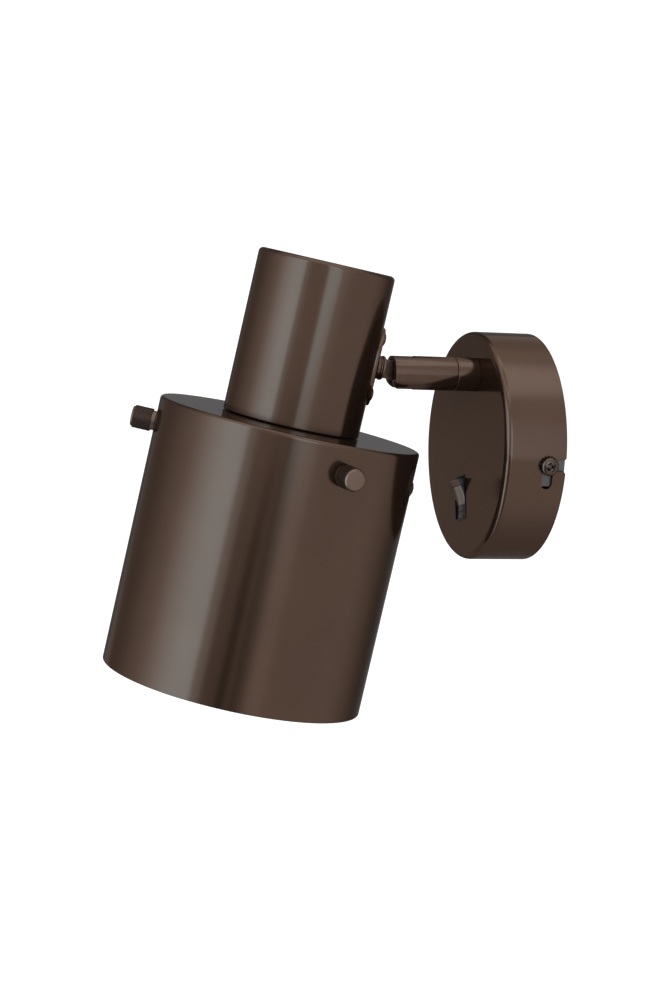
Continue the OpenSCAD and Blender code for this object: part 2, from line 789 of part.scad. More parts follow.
module holder_ring() {
  color(dark) at_head() difference() {
    translate([0, 0, cap_top - drum_wall - seat - ring_len + 0.5]) union() {
      cylinder(h = ring_len - 0.5, r = holder_r + 2.5);
      translate([0, 0, ring_len - 2.5]) cylinder(h = 2, d = ring_d);
    }
    translate([0, 0, skirt_low - cut]) cylinder(h = ring_len + 4, r = holder_r + run);
  }
}

// The cap of the drum: a flat top with a rounded rim
module shade_cap() {
  color(bronze) at_head() difference() {
    rotate_extrude() {
      difference() {
        translate([0, cap_top - cap_rim]) intersection() {
          cup_outline(drum_r, cap_rim, cap_rim * 0.85);
          square([drum_r, cap_rim]);
        }
        translate([0, cap_top - cap_rim - cut]) square([collar_r - collar_wall, cap_rim - drum_wall + cut]);
      }
    }
    translate([0, 0, cap_top - cap_rim - cut]) cylinder(h = cap_rim + 2 * cut, r = holder_r + run);
  }
}

// The ring under the cap that the drum slides over
module cap_collar() {
  color(steel) at_head() difference() {
    tube_z(cap_top - cap_collar, cap_collar - cap_rim - seat, 2 * collar_r, 2 * (collar_r - collar_wall));
    thumb_places() cylinder(h = drum_r, d = thumb_thread_d + 2 + 2 * run);
  }
}

// Angle and drop of each thumb screw
thumbs = [[10, thumb_drop], [-110, thumb_drop], [104, thumb_rear_drop]];

module thumb_places(which = [0:2]) {
  for (i = which) radial(thumbs[i][0], cap_top - thumbs[i][1]) children();
}

module thumb_bushes() {
  seat_r = sqrt(pow(collar_r - collar_wall, 2) - pow(thumb_thread_d, 2)) - seat;
  color(brass) at_head() thumb_places() difference() {
    union() {
      translate([0, 0, seat_r - 3.5]) cylinder(h = 3.5, d = 2 * thumb_thread_d);
      translate([0, 0, seat_r - 1]) cylinder(h = collar_r - seat_r + 1 - 0.1, d = thumb_thread_d + 2);
    }
    translate([0, 0, seat_r - 10]) cylinder(h = 20, d = thumb_thread_d + 2 * run);
  }
}

module drum_shade() {
  color(bronze) at_head() difference() {
    tube_z(drum_low, drum_len - cap_rim - 0.1, drum_d, drum_d - 2 * drum_wall);
    thumb_places() cylinder(h = drum_r + 2, d = thumb_thread_d + 0.5);
  }
}

module thumb_screw(i) {
  chamfer = 0.7;
  color(bronze) at_head() thumb_places([i]) {
    translate([0, 0, collar_r - 6.5]) cylinder(h = drum_r - collar_r + 7, d = thumb_thread_d);
    translate([0, 0, drum_r + seat]) cylinder(h = thumb_neck_len + 0.2, d = thumb_neck_d);
    translate([0, 0, drum_r + seat + thumb_neck_len]) {
      cylinder(h = chamfer / 2, d1 = thumb_d - chamfer, d2 = thumb_d);
      translate([0, 0, chamfer / 2]) cylinder(h = thumb_len - 1.5 * chamfer, d = thumb_d);
      translate([0, 0, thumb_len - chamfer]) cylinder(h = chamfer, d1 = thumb_d, d2 = thumb_d - 2 * chamfer);
    }
  }
}

module thumb_screw_front() { thumb_screw(0); }
module thumb_screw_left() { thumb_screw(1); }
module thumb_screw_rear() { thumb_screw(2); }

wall_plate();
canopy_cover();
side_screws();
side_washers();
earth_screw();
cable_grommet();
terminal_block();
terminal_tubes();
terminal_screws();
block_screw();
switch_housing();
switch_tabs();
switch_rocker();
arm_collar();
swivel_nipple();
nipple_washer();
nipple_nut();
swivel_washer();
swivel_nut();
arm_tube();
arm_plug();
knuckle_pin();
friction_washers();
knuckle_tongue();
knuckle_washer();
knuckle_nut();
saddle_plate();
saddle_screws();
saddle_nuts();
socket_cup();
holder_bridge();
holder_nipple();
holder_nuts();
holder_cap();
holder_core();
screw_shell();
centre_contact();
holder_skirt();
holder_ring();
shade_cap();
cap_collar();
thumb_bushes();
drum_shade();
thumb_screw_front();
thumb_screw_left();
thumb_screw_rear();
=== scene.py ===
"""Dresses a bronze wall spot lamp: canopy with rocker switch, swivel arm, cup and drum shade.

Every size is in millimetres and is taken to metres when a mesh is made. The lamp's frame has the
wall at Y = 0, the lamp along -Y and Z up. Two frames hang in it: the arm's, which has its Z up
through the arm, and the head's, which has its Z up the axis of the cup.
"""
import logging
import math
from dataclasses import asdict, dataclass, fields
from enum import Enum
from typing import Callable, ClassVar, Iterable, Sequence

import bmesh
import bpy
from bpy.types import Material, Object
from mathutils import Matrix, Vector


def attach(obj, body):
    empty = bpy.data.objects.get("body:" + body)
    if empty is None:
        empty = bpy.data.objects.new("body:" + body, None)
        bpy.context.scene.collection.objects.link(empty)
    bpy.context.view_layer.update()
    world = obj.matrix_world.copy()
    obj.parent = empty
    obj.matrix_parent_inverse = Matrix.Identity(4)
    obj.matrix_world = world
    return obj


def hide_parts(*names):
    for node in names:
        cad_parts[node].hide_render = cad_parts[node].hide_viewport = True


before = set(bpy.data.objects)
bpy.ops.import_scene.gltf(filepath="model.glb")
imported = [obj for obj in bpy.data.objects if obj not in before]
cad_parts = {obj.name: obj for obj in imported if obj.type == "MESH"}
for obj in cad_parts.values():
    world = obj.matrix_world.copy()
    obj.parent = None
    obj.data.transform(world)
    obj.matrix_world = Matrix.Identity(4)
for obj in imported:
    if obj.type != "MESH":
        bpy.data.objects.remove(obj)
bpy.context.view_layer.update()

MM = 0.001
LOG = logging.getLogger("lamp")

Colour = tuple[float, float, float]
Point = tuple[float, float]
Corner = Point | tuple[float, float, float]
"""A corner of a turned outline: its radius, its height and, if it is rounded, its fillet."""


# Frames

def turn(degrees: float, axis: str) -> Matrix:
    """A rotation about X, Y or Z, in degrees."""
    return Matrix.Rotation(math.radians(degrees), 4, axis)


def shift(x: float, y: float, z: float) -> Matrix:
    """A move in millimetres."""
    return Matrix.Translation((x, y, z))


@dataclass(frozen=True)
class LampFrames:
    """The frames that the sub-assemblies are drawn in, with the sizes that they share."""

    arm_rise: float = 32.7
    arm_turn: float = -11.8
    pin_reach: float = 61.0
    head_tilt: float = 9.9
    cup_r: float = 29.45
    stem_len: float = 14.3
    cap_top: float = -31.2
    drum_r: float = 56.35
    saddle_pitch: float = 24.0

    @property
    def arm(self) -> Matrix:
        """The arm's frame: its origin on the wall, on the arm's axis."""
        return shift(0, 0, self.arm_rise) @ turn(self.arm_turn, "Y")

    @property
    def pin(self) -> Matrix:
        """The frame of the knuckle pin, turned with the head."""
        return self.arm @ shift(0, -self.pin_reach, 0) @ turn(-self.head_tilt, "X")

    @property
    def head(self) -> Matrix:
        """The head's frame: Z up the cup's axis, level with the pin."""
        return self.pin @ shift(0, -self.cup_r - self.stem_len, 0)

    @property
    def stem(self) -> Matrix:
        """Z from the pin towards the cup."""
        return self.pin @ turn(90, "X")

    @property
    def pin_line(self) -> Matrix:
        """Z along the pin, in the arm."""
        return self.arm @ shift(0, -self.pin_reach, 0) @ turn(90, "Y")

    def radial(self, angle: float, height: float) -> Matrix:
        """A frame on the head's axis with Z outwards at an angle, at a height."""
        return self.head @ turn(angle, "Z") @ shift(0, 0, height) @ turn(90, "Y")


FRAMES = LampFrames()
LEVEL = Matrix.Identity(4)
OUT = turn(90, "X")
"""Turns a piece drawn along Z so that it stands out of the wall along -Y."""


# Meshes

LONG_SIDE, HOLD = 2.0, 0.2
"""A side of an outline from this length on is held this far from its ends, which keeps its shading straight."""


def outline(corners: Sequence[Corner], steps: int = 7) -> list[Point]:
    """Rounds the corners of a closed outline.

    Args:
        corners: the outline's corners in order.
        steps: steps on each rounded corner.

    Returns:
        The points of the rounded outline, with two more near the ends of each long side.
    """
    points: list[Point] = []
    spots = [Vector(corner[:2]) for corner in corners]
    for i, corner in enumerate(corners):
        if len(corner) < 3:
            points.append(corner)
            continue
        here, fillet = spots[i], corner[2]
        before, after = spots[i - 1] - here, spots[(i + 1) % len(spots)] - here
        half = before.angle(after) / 2
        before.normalize()
        after.normalize()
        middle = here + (before + after).normalized() * (fillet / math.sin(half))
        a, b = (here + side * (fillet / math.tan(half)) - middle for side in (before, after))
        sweep = a.angle_signed(b) if a.length and b.length else 0
        for k in range(steps + 1):
            angle = -sweep * k / steps
            c, s = math.cos(angle), math.sin(angle)
            points.append((middle.x + a.x * c - a.y * s, middle.y + a.x * s + a.y * c))
    held: list[Point] = []
    for here, following in zip(points, points[1:] + points[:1]):
        held.append(here)
        start, end = Vector(here), Vector(following)
        length = (end - start).length
        if length > LONG_SIDE:
            held += [tuple(start.lerp(end, t)) for t in (HOLD / length, 1 - HOLD / length)]
    return held


def arc(x: float, y: float, r: float, start: float, sweep: float, steps: int) -> list[Point]:
    """Points on an arc round a centre, from a start through a sweep, both in degrees."""
    angles = (math.radians(start + sweep * k / steps) for k in range(steps + 1))
    return [(x + r * math.cos(a), y + r * math.sin(a)) for a in angles]


def rounded_box(width: float, height: float, r: float, steps: int = 8) -> list[Point]:
    """The outline of a rectangle with rounded corners, centred."""
    points: list[Point] = []
    for i, (sx, sy) in enumerate(((1, 1), (-1, 1), (-1, -1), (1, -1))):
        points += arc(sx * (width / 2 - r), sy * (height / 2 - r), r, 90 * i, 90, steps)
    return points


def link(name: str, data: bpy.types.ID) -> Object:
    """Makes an object and puts it in the scene."""
    obj = bpy.data.objects.new(name, data)
    bpy.context.scene.collection.objects.link(obj)
    return obj


def from_bmesh(name: str, bm: bmesh.types.BMesh) -> Object:
    """Makes an object of a mesh, which is freed."""
    mesh = bpy.data.meshes.new(name)
    bm.to_mesh(mesh)
    bm.free()
    return link(name, mesh)


def to_object(name: str, bm: bmesh.types.BMesh, place: Matrix) -> Object:
    """Makes an object of a mesh drawn in millimetres.

    Args:
        name: the object's name.
        bm: the mesh, which is freed.
        place: the frame it is drawn in.

    Returns:
        The object, with its place in its mesh and its faces turned outwards.
    """
    bm.transform(place)
    bmesh.ops.remove_doubles(bm, verts=bm.verts, dist=1e-4)
    bmesh.ops.recalc_face_normals(bm, faces=bm.faces)
    bmesh.ops.scale(bm, vec=(MM, MM, MM), verts=bm.verts)
    return from_bmesh(name, bm)


def skin(bm: bmesh.types.BMesh, rows: Sequence[Sequence[bmesh.types.BMVert]]) -> None:
    """Joins rings of vertices with faces, and the last ring with the first."""
    for row, following in zip(rows, rows[1:] + rows[:1]):
        for k in range(len(row)):
            n = (k + 1) % len(row)
            face = list(dict.fromkeys((row[k], row[n], following[n], following[k])))
            if len(face) > 2:
                bm.faces.new(face)


def revolve(points: Sequence[Point], segments: int) -> bmesh.types.BMesh:
    """Turns a closed outline of radius and height about Z. A point on the axis becomes one vertex."""
    bm = bmesh.new()
    rows = []
    for r, z in points:
        if r < 1e-6:
            rows.append([bm.verts.new((0, 0, z))] * segments)
            continue
        angles = (2 * math.pi * k / segments for k in range(segments))
        rows.append([bm.verts.new((r * math.cos(a), r * math.sin(a), z)) for a in angles])
    skin(bm, rows)
    return bm


def turned(name: str, corners: Sequence[Corner], place: Matrix, segments: int = 96) -> Object:
    """A turned piece from the corners of its outline."""
    return to_object(name, revolve(outline(corners), segments), place)


def prism(points: Sequence[Point], low: float, high: float, place: Matrix, name: str = "tool") -> Object:
    """A straight piece along Z from an outline in X and Y."""
    bm = bmesh.new()
    low_end, high_end = ([bm.verts.new((x, y, z)) for x, y in points] for z in (low, high))
    bm.faces.new(low_end)
    bm.faces.new(high_end)
    for k in range(len(points)):
        n = (k + 1) % len(points)
        bm.faces.new((low_end[k], low_end[n], high_end[n], high_end[k]))
    return to_object(name, bm, place)


def rod(r: float, low: float, high: float, place: Matrix) -> Object:
    """A plain round rod along Z."""
    return turned("rod", [(0, low), (r, low), (r, high), (0, high)], place, 64)


class Boolean(Enum):
    """What is done with a cutting tool."""

    CUT = "DIFFERENCE"
    KEEP = "INTERSECT"
    JOIN = "UNION"


def bake(obj: Object, kind: str | None = None, **settings: object) -> Object:
    """Puts the result of an object's modifiers in its mesh and takes the modifiers off.

    Args:
        obj: the object.
        kind: a modifier to add first, or none.
        settings: the properties of that modifier.

    Returns:
        The object.
    """
    if kind:
        modifier = obj.modifiers.new("made", kind)
        for key, value in settings.items():
            setattr(modifier, key, value)
    bpy.context.view_layer.update()
    mesh = bpy.data.meshes.new_from_object(obj.evaluated_get(bpy.context.evaluated_depsgraph_get()))
    obj.modifiers.clear()
    old, obj.data = obj.data, mesh
    bpy.data.meshes.remove(old)
    return obj


def combine(obj: Object, tools: Iterable[Object], way: Boolean = Boolean.CUT) -> Object:
    """Cuts, keeps or joins an object with each tool in turn. The tools are deleted."""
    for tool in tools:
        bake(obj, "BOOLEAN", operation=way.value, solver="EXACT", object=tool)
        bpy.data.objects.remove(tool)
    return obj


def soften(obj: Object, width: float, angle: float = 40.0) -> Object:
    """Rounds an object's sharp edges a little."""
    bm = bmesh.new()
    bm.from_mesh(obj.data)
    bmesh.ops.remove_doubles(bm, verts=bm.verts, dist=1e-6)
    bmesh.ops.dissolve_limit(bm, angle_limit=math.radians(0.5), verts=bm.verts, edges=bm.edges)
    bm.to_mesh(obj.data)
    bm.free()
    return bake(obj, "BEVEL", width=width * MM, segments=2, limit_method="ANGLE", angle_limit=math.radians(angle),
                miter_outer="MITER_ARC", use_clamp_overlap=True)


def shade(obj: Object, angle: float) -> Object:
    """Smooths an object's shading up to an angle between its faces."""
    obj.data.polygons.foreach_set("use_smooth", [True] * len(obj.data.polygons))
    obj.data.set_sharp_from_angle(angle=math.radians(angle))
    obj.data.update()
    return obj


def merge_objects(name: str, parts: Sequence[Object]) -> Object:
    """Puts several meshes in one object."""
    bm = bmesh.new()
    for part in parts:
        bm.from_mesh(part.data)
        bpy.data.objects.remove(part)
    return from_bmesh(name, bm)


def cad_copy(name: str, node: str) -> Object:
    """A merged copy of a CAD node's mesh."""
    bm = bmesh.new()
    bm.from_mesh(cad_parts[node].data)
    bmesh.ops.remove_doubles(bm, verts=bm.verts, dist=1e-6)
    return from_bmesh(name, bm)


def paint(obj: Object, place: Matrix, pick: Callable[[Vector, Vector], int]) -> Object:
    """Numbers the materials of an object's faces.

    Args:
        obj: the piece.
        place: the frame in which its faces are judged.
        pick: a material's number from a face's middle, in millimetres, and its normal.

    Returns:
        The piece.
    """
    back = place.inverted()
    for face in obj.data.polygons:
        face.material_index = int(pick(back @ (face.center / MM), (back.to_3x3() @ face.normal).normalized()))
    return obj


# Shader maths

def operator(name: str, swapped: bool = False) -> Callable[["Sock", "Value"], "Sock"]:
    """An arithmetic operator that adds a Math node, with its two sides swapped or not."""
    def apply(self: "Sock", other: "Value") -> "Sock":
        return self.shader.calc(name, *((other, self) if swapped else (self, other)))
    return apply


class Sock:
    """An output of a node that takes part in Python arithmetic."""

    __add__, __radd__ = operator("ADD"), operator("ADD", True)
    __sub__, __rsub__ = operator("SUBTRACT"), operator("SUBTRACT", True)
    __mul__ = operator("MULTIPLY")
    below = operator("LESS_THAN")

    def __init__(self, shader: "Shader", node: bpy.types.Node, name: int | str = 0) -> None:
        """Wraps an output of a node in a shader's tree, by name or number."""
        self.shader, self.node, self.name = shader, node, name

    def out(self, name: int | str) -> "Sock":
        """Another output of the same node."""
        return Sock(self.shader, self.node, name)

    def step(self, low: float, high: float) -> "Sock":
        """A smooth step from 0 at low to 1 at high."""
        ends = {"Value": self, "From Min": low, "From Max": high}
        return self.shader.node("MapRange", ends, interpolation_type="SMOOTHSTEP").out("Result")


Value = Sock | float | Sequence[float] | Material


class Shader:
    """A node tree that is filled in by Python calls."""

    def __init__(self, tree: bpy.types.NodeTree) -> None:
        """Takes over a tree and empties it."""
        self.tree = tree
        tree.nodes.clear()

    def node(self, kind: str, inputs: dict[int | str, Value] | None = None, **settings: str) -> Sock:
        """Adds a node.

        Args:
            kind: the node's type, short of the word ShaderNode.
            inputs: values or links of its sockets, by name or number.
            settings: its properties, set first.

        Returns:
            The node's first output.
        """
        node = self.tree.nodes.new(kind if "Node" in kind else f"ShaderNode{kind}")
        for key, value in settings.items():
            setattr(node, key, value)
        for key, value in (inputs or {}).items():
            if isinstance(value, Sock):
                self.tree.links.new(value.node.outputs[value.name], node.inputs[key])
            else:
                node.inputs[key].default_value = value
        return Sock(self, node)

    def calc(self, operation: str, first: Value, second: Value) -> Sock:
        """Adds a Math node."""
        return self.node("Math", {0: first, 1: second}, operation=operation)

    def mix(self, factor: Value, first: Value, second: Value) -> Sock:
        """Mixes two colours."""
        return self.node("Mix", {0: factor, 6: first, 7: second}, data_type="RGBA").out(2)


class Grain(Enum):
    """How the finish of a piece runs, as the stretch of its pattern along the frame's X, Y and Z."""

    ROUND = (30.0, 30.0, 2600.0)
    FLAT = (420.0, 60.0, 420.0)
    CAST = (900.0, 900.0, 900.0)


@dataclass(frozen=True)
class Metal:
    """A finish of metal, or of another hard material.

    Args:
        name: the material's name.
        colour: its colour.
        roughness: its mean roughness.
        spread: how far the roughness varies along the grain.
        coat: weight of a glaze over it.
        cloud: how much the colour changes over the surface.
        bump: depth of the grain, in millimetres.
        metallic: 1 for bare metal.
        edge: tint at a shallow angle.
    """

    name: str
    colour: Colour
    roughness: float
    spread: float = 0.04
    coat: float = 0.0
    cloud: float = 0.08
    bump: float = 0.002
    metallic: float = 1.0
    edge: Colour = (1.0, 1.0, 1.0)

    def material(self, place: Matrix, grain: Grain = Grain.CAST) -> Material:
        """The finish for a piece drawn in a frame.

        Args:
            place: the piece's frame, in millimetres.
            grain: how the brushing runs in that frame.

        Returns:
            The material.
        """
        material = bpy.data.materials.new(self.name)
        material.use_nodes = True
        shader = Shader(material.node_tree)
        local = shader.node("Mapping", {
            "Vector": shader.node("TexCoord").out("Object"), "Location": place.to_translation() * MM,
            "Rotation": place.to_euler()}, vector_type="TEXTURE")
        stretched = shader.node("Mapping", {"Vector": local, "Scale": grain.value}, vector_type="POINT")
        line, cloud = (
            shader.node("TexNoise", {"Vector": at, "Scale": scale, "Detail": detail, "Roughness": fade})
            for at, scale, detail, fade in ((stretched, 1.0, 3.0, 0.6), (local, 38.0, 2.0, 0.5)))
        dark = tuple(c * (1 - self.cloud) for c in self.colour)
        light = tuple(min(1.0, c * (1 + self.cloud)) for c in self.colour)
        tone = shader.mix((cloud * 0.6 + line * 0.4).step(0.3, 0.7), (*dark, 1.0), (*light, 1.0))
        rough = self.roughness + (line * 0.7 + cloud * 0.3 - 0.5) * (2 * self.spread)
        bump = shader.node("Bump", {"Strength": 0.35, "Distance": self.bump * MM, "Height": line})
        surface = shader.node("BsdfPrincipled", {
            "Base Color": tone, "Metallic": self.metallic, "Roughness": rough, "Coat Weight": self.coat,
            "Coat Roughness": 0.2, "Specular Tint": (*self.edge, 1.0), "Normal": bump})
        shader.node("OutputMaterial", {"Surface": surface})
        return material


EDGE = (0.52, 0.46, 0.43)
BRONZE = Metal("bronze", (0.082, 0.049, 0.0345), 0.15, 0.02, cloud=0.04, bump=0.0003, metallic=0.8, edge=EDGE)
BRONZE_SMALL = Metal("bronze_small", (0.085, 0.050, 0.036), 0.14, 0.03, bump=0.0004, metallic=0.8, edge=EDGE)
# Painted shade for the walls inside the fork's slot; the black swivel washer also wears it as its own colour.
SLOT_SHADE_AND_WASHER_BLACK = Metal("slot_painted_shade_and_black_washer", (0.03, 0.017, 0.012), 0.5, 0.05, bump=0.0004, metallic=0.5, edge=EDGE)
# A rougher satin bronze for the tongue, with its colour lifted above the other bronze as painted light.
BRONZE_SATIN_PAINTED_LIGHT = Metal("bronze_satin_painted_light", (0.125, 0.077, 0.057), 0.38, 0.04, metallic=0.7, edge=EDGE)
# Painted shade for the floors of the knurl's grooves: a darker copy of the bronze.
BRONZE_GROOVE_PAINTED_SHADE = Metal("bronze_groove_painted_shade", (0.055, 0.034, 0.025), 0.4, 0.04, metallic=0.6, edge=EDGE)
# The knurl's ridges: the bronze painted lighter, as painted light on them.
BRONZE_KNURL_PAINTED_LIGHT = Metal("bronze_knurl_painted_light", (0.14, 0.092, 0.07), 0.34, 0.04, metallic=0.72, edge=EDGE)
HOUSING = Metal("switch_black", (0.007, 0.005, 0.005), 0.35, 0.05, metallic=0.0, edge=(0.12, 0.1, 0.1))
# Three tones of one rocker finish that stand for light on it: the face in painted light, the grip in painted half
# shade, and the flanks and lower end in painted shade.
ROCKER_LIT_AND_SHADED_TONES = (
    Metal("rocker_face_painted_light", (0.30, 0.26, 0.235), 0.16, 0.03, bump=0.0004, metallic=0.85, edge=EDGE),
    Metal("rocker_grip_painted_half_shade", (0.20, 0.125, 0.105), 0.3, 0.03, bump=0.0004, metallic=0.85, edge=EDGE),
    Metal("rocker_side_and_low_end_painted_shade", (0.018, 0.013, 0.010), 0.22, 0.03, bump=0.0004, metallic=0.3, edge=EDGE),
)
SCREW_STEEL = Metal("dark_screw_steel", (0.075, 0.052, 0.041), 0.25, 0.05, bump=0.001, edge=EDGE)
ZINC = Metal("zinc_plate", (0.52, 0.53, 0.54), 0.36, 0.08, cloud=0.12, bump=0.004)
DARK_ZINC = Metal("dark_zinc_plate", (0.085, 0.078, 0.072), 0.4, 0.08, cloud=0.12, bump=0.004)
BRASS = Metal("plain_brass", (0.72, 0.52, 0.26), 0.28, 0.06, cloud=0.1, bump=0.003)
BLACK = Metal("black_moulding", (0.016, 0.015, 0.015), 0.45, 0.06, cloud=0.15, bump=0.01, metallic=0.0,
              edge=(0.35, 0.35, 0.35))
RUBBER = Metal("rubber", (0.03, 0.03, 0.03), 0.62, 0.05, cloud=0.2, bump=0.02, metallic=0.0)
CERAMIC = Metal("steatite", (0.74, 0.72, 0.67), 0.28, 0.05, coat=0.3, cloud=0.04, bump=0.01, metallic=0.0)
NYLON = Metal("terminal_nylon", (0.72, 0.72, 0.69), 0.42, 0.05, cloud=0.03, bump=0.01, metallic=0.0)
LACQUER = Metal("white_lacquer", (0.80, 0.79, 0.76), 0.42, 0.05, cloud=0.02, bump=0.012, metallic=0.0)


# Repeated shapes

@dataclass(frozen=True)
class RidgeRing:
    """Geometry Nodes that stand ridges in a ring about Z.

    Args:
        count: number of ridges.
        radius: radius of the ridges' middle.
        width: size of a ridge round the ring.
        depth: its size outwards.
        length: its size along the axis.
        middle: height of its middle.
        slant: lean of each ridge, in degrees.
    """

    tree: ClassVar[bpy.types.NodeTree | None] = None
    count: int
    radius: float
    width: float
    depth: float
    length: float
    middle: float
    slant: float = 0.0

    @classmethod
    def nodes(cls) -> bpy.types.NodeTree:
        """The tree, made once, with its sizes as named inputs."""
        if cls.tree:
            return cls.tree
        cls.tree = bpy.data.node_groups.new("ridge_ring", "GeometryNodeTree")
        face = cls.tree.interface
        face.new_socket("Geometry", in_out="OUTPUT", socket_type="NodeSocketGeometry")
        kinds = {size.name: "Float" for size in fields(cls)} | {"count": "Int", "material": "Material"}
        for name, kind in kinds.items():
            face.new_socket(name, in_out="INPUT", socket_type=f"NodeSocket{kind}")
        shader = Shader(cls.tree)
        group = shader.node("NodeGroupInput")
        count, radius, width, depth, length, middle, slant, material = (group.out(name) for name in kinds)
        size = shader.node("CombineXYZ", {"X": depth, "Y": width, "Z": length})
        lean, up = (shader.node("CombineXYZ", axis) for axis in ({"X": slant}, {"Z": middle}))
        bar = shader.node("GeometryNodeMeshCube", {"Size": size})
        leaned = shader.node("GeometryNodeTransform", {"Geometry": bar, "Rotation": lean})
        ring = shader.node("GeometryNodeMeshCircle", {"Vertices": count, "Radius": radius})
        outward = shader.node("GeometryNodeInputPosition")
        facing = shader.node("FunctionNodeAlignRotationToVector", {"Vector": outward}, axis="X")
        stood = shader.node("GeometryNodeInstanceOnPoints", {"Points": ring, "Instance": leaned, "Rotation": facing})
        real = shader.node("GeometryNodeRealizeInstances", {"Geometry": stood})
        moved = shader.node("GeometryNodeTransform", {"Geometry": real, "Translation": up})
        dressed = shader.node("GeometryNodeSetMaterial", {"Geometry": moved, "Material": material})
        shader.node("NodeGroupOutput", {"Geometry": dressed})
        return cls.tree

    def make(self, place: Matrix, material: Material) -> Object:
        """Makes the ring as a plain mesh.

        Args:
            place: its frame.
            material: what it is made of.

        Returns:
            The ring.
        """
        obj = link("ridges", bpy.data.meshes.new("ridges"))
        modifier = obj.modifiers.new("ridges", "NODES")
        modifier.node_group = self.nodes()
        values = {**asdict(self), "slant": math.radians(self.slant), "material": material}
        for item in modifier.node_group.interface.items_tree:
            if item.in_out == "INPUT":
                modifier[item.identifier] = values[item.name]
        bake(obj).data.transform(Matrix.Scale(MM, 4) @ place)
        return obj


# Pieces

@dataclass
class Assembly:
    """Something that adds pieces to the lamp and reports them."""

    body: str = "wall_mount"

    def add(
        self, obj: Object, materials: Sequence[Material], replaces: Sequence[str], slot: str = "bronze",
        body: str | None = None, angle: float = 30.0,
    ) -> None:
        """Dresses a finished piece and hands it to its body.

        Args:
            obj: the piece, in place.
            materials: its materials, in the order of its faces' numbers.
            replaces: the CAD nodes that it stands for.
            slot: not used. the record's material slot.
            body: the body that it rides on, or none for the assembly's own.
            angle: the angle between its faces up to which its shading is smooth.
        """
        shade(obj, angle)
        looks = [min(face.material_index, len(materials) - 1) for face in obj.data.polygons]
        obj.data.materials.clear()
        for material in materials:
            obj.data.materials.append(material)
        obj.data.polygons.foreach_set("material_index", looks)
        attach(obj, body or self.body)
        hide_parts(*replaces)
        LOG.info("%s: %d faces, stands for %s", obj.name, len(obj.data.polygons), ", ".join(replaces))

    def dress_nodes(self, material: Material, *nodes: str) -> None:
        """Gives CAD nodes that stay their material."""
        for node in nodes:
            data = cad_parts[node].data
            data.materials.clear()
            data.materials.append(material)
            LOG.info("%s: CAD node kept", node)


@dataclass
class Fastener:
    """A domed screw with a cross recess.

    Args:
        head_d: diameter of its head.
        head_h: height of its head.
        shank_d: diameter of its shank.
        shank: length of its shank.
    """

    head_d: float
    head_h: float
    shank_d: float
    shank: float

    def build(self, place: Matrix, turned_by: float, name: str = "screw") -> Object:
        """The screw, its head's flat side at the frame's origin and its head along Z."""
        r, h, low, stem, edge = self.head_d / 2, self.head_h, -self.shank, self.shank_d / 2, 0.35
        dome: list[Point] = [(0, low), (stem - 0.4, low), (stem, low + 0.4), (stem, 0), (r - edge, 0), (r, edge)]
        side, steps = h * 0.36, 8
        for k in range(steps + 1):
            a = math.radians(90 * k / steps)
            dome.append((r * math.cos(a) ** 0.8 if k < steps else 0.0, side + (h - side) * math.sin(a)))
        screw = to_object(name, revolve(dome, 64), place)
        wide, width, deep = self.head_d, self.head_d * 0.105, h * 0.62
        right = [(wide * 0.29, h + 1), (wide * 0.23, h - deep * 0.45), (wide * 0.1, h - deep)]
        wedge = right + [(-x, z) for x, z in reversed(right)]
        return combine(screw, [prism(wedge, -width, width, place @ turn(a, "Z") @ turn(90, "X"))
                               for a in (turned_by, turned_by + 90)])


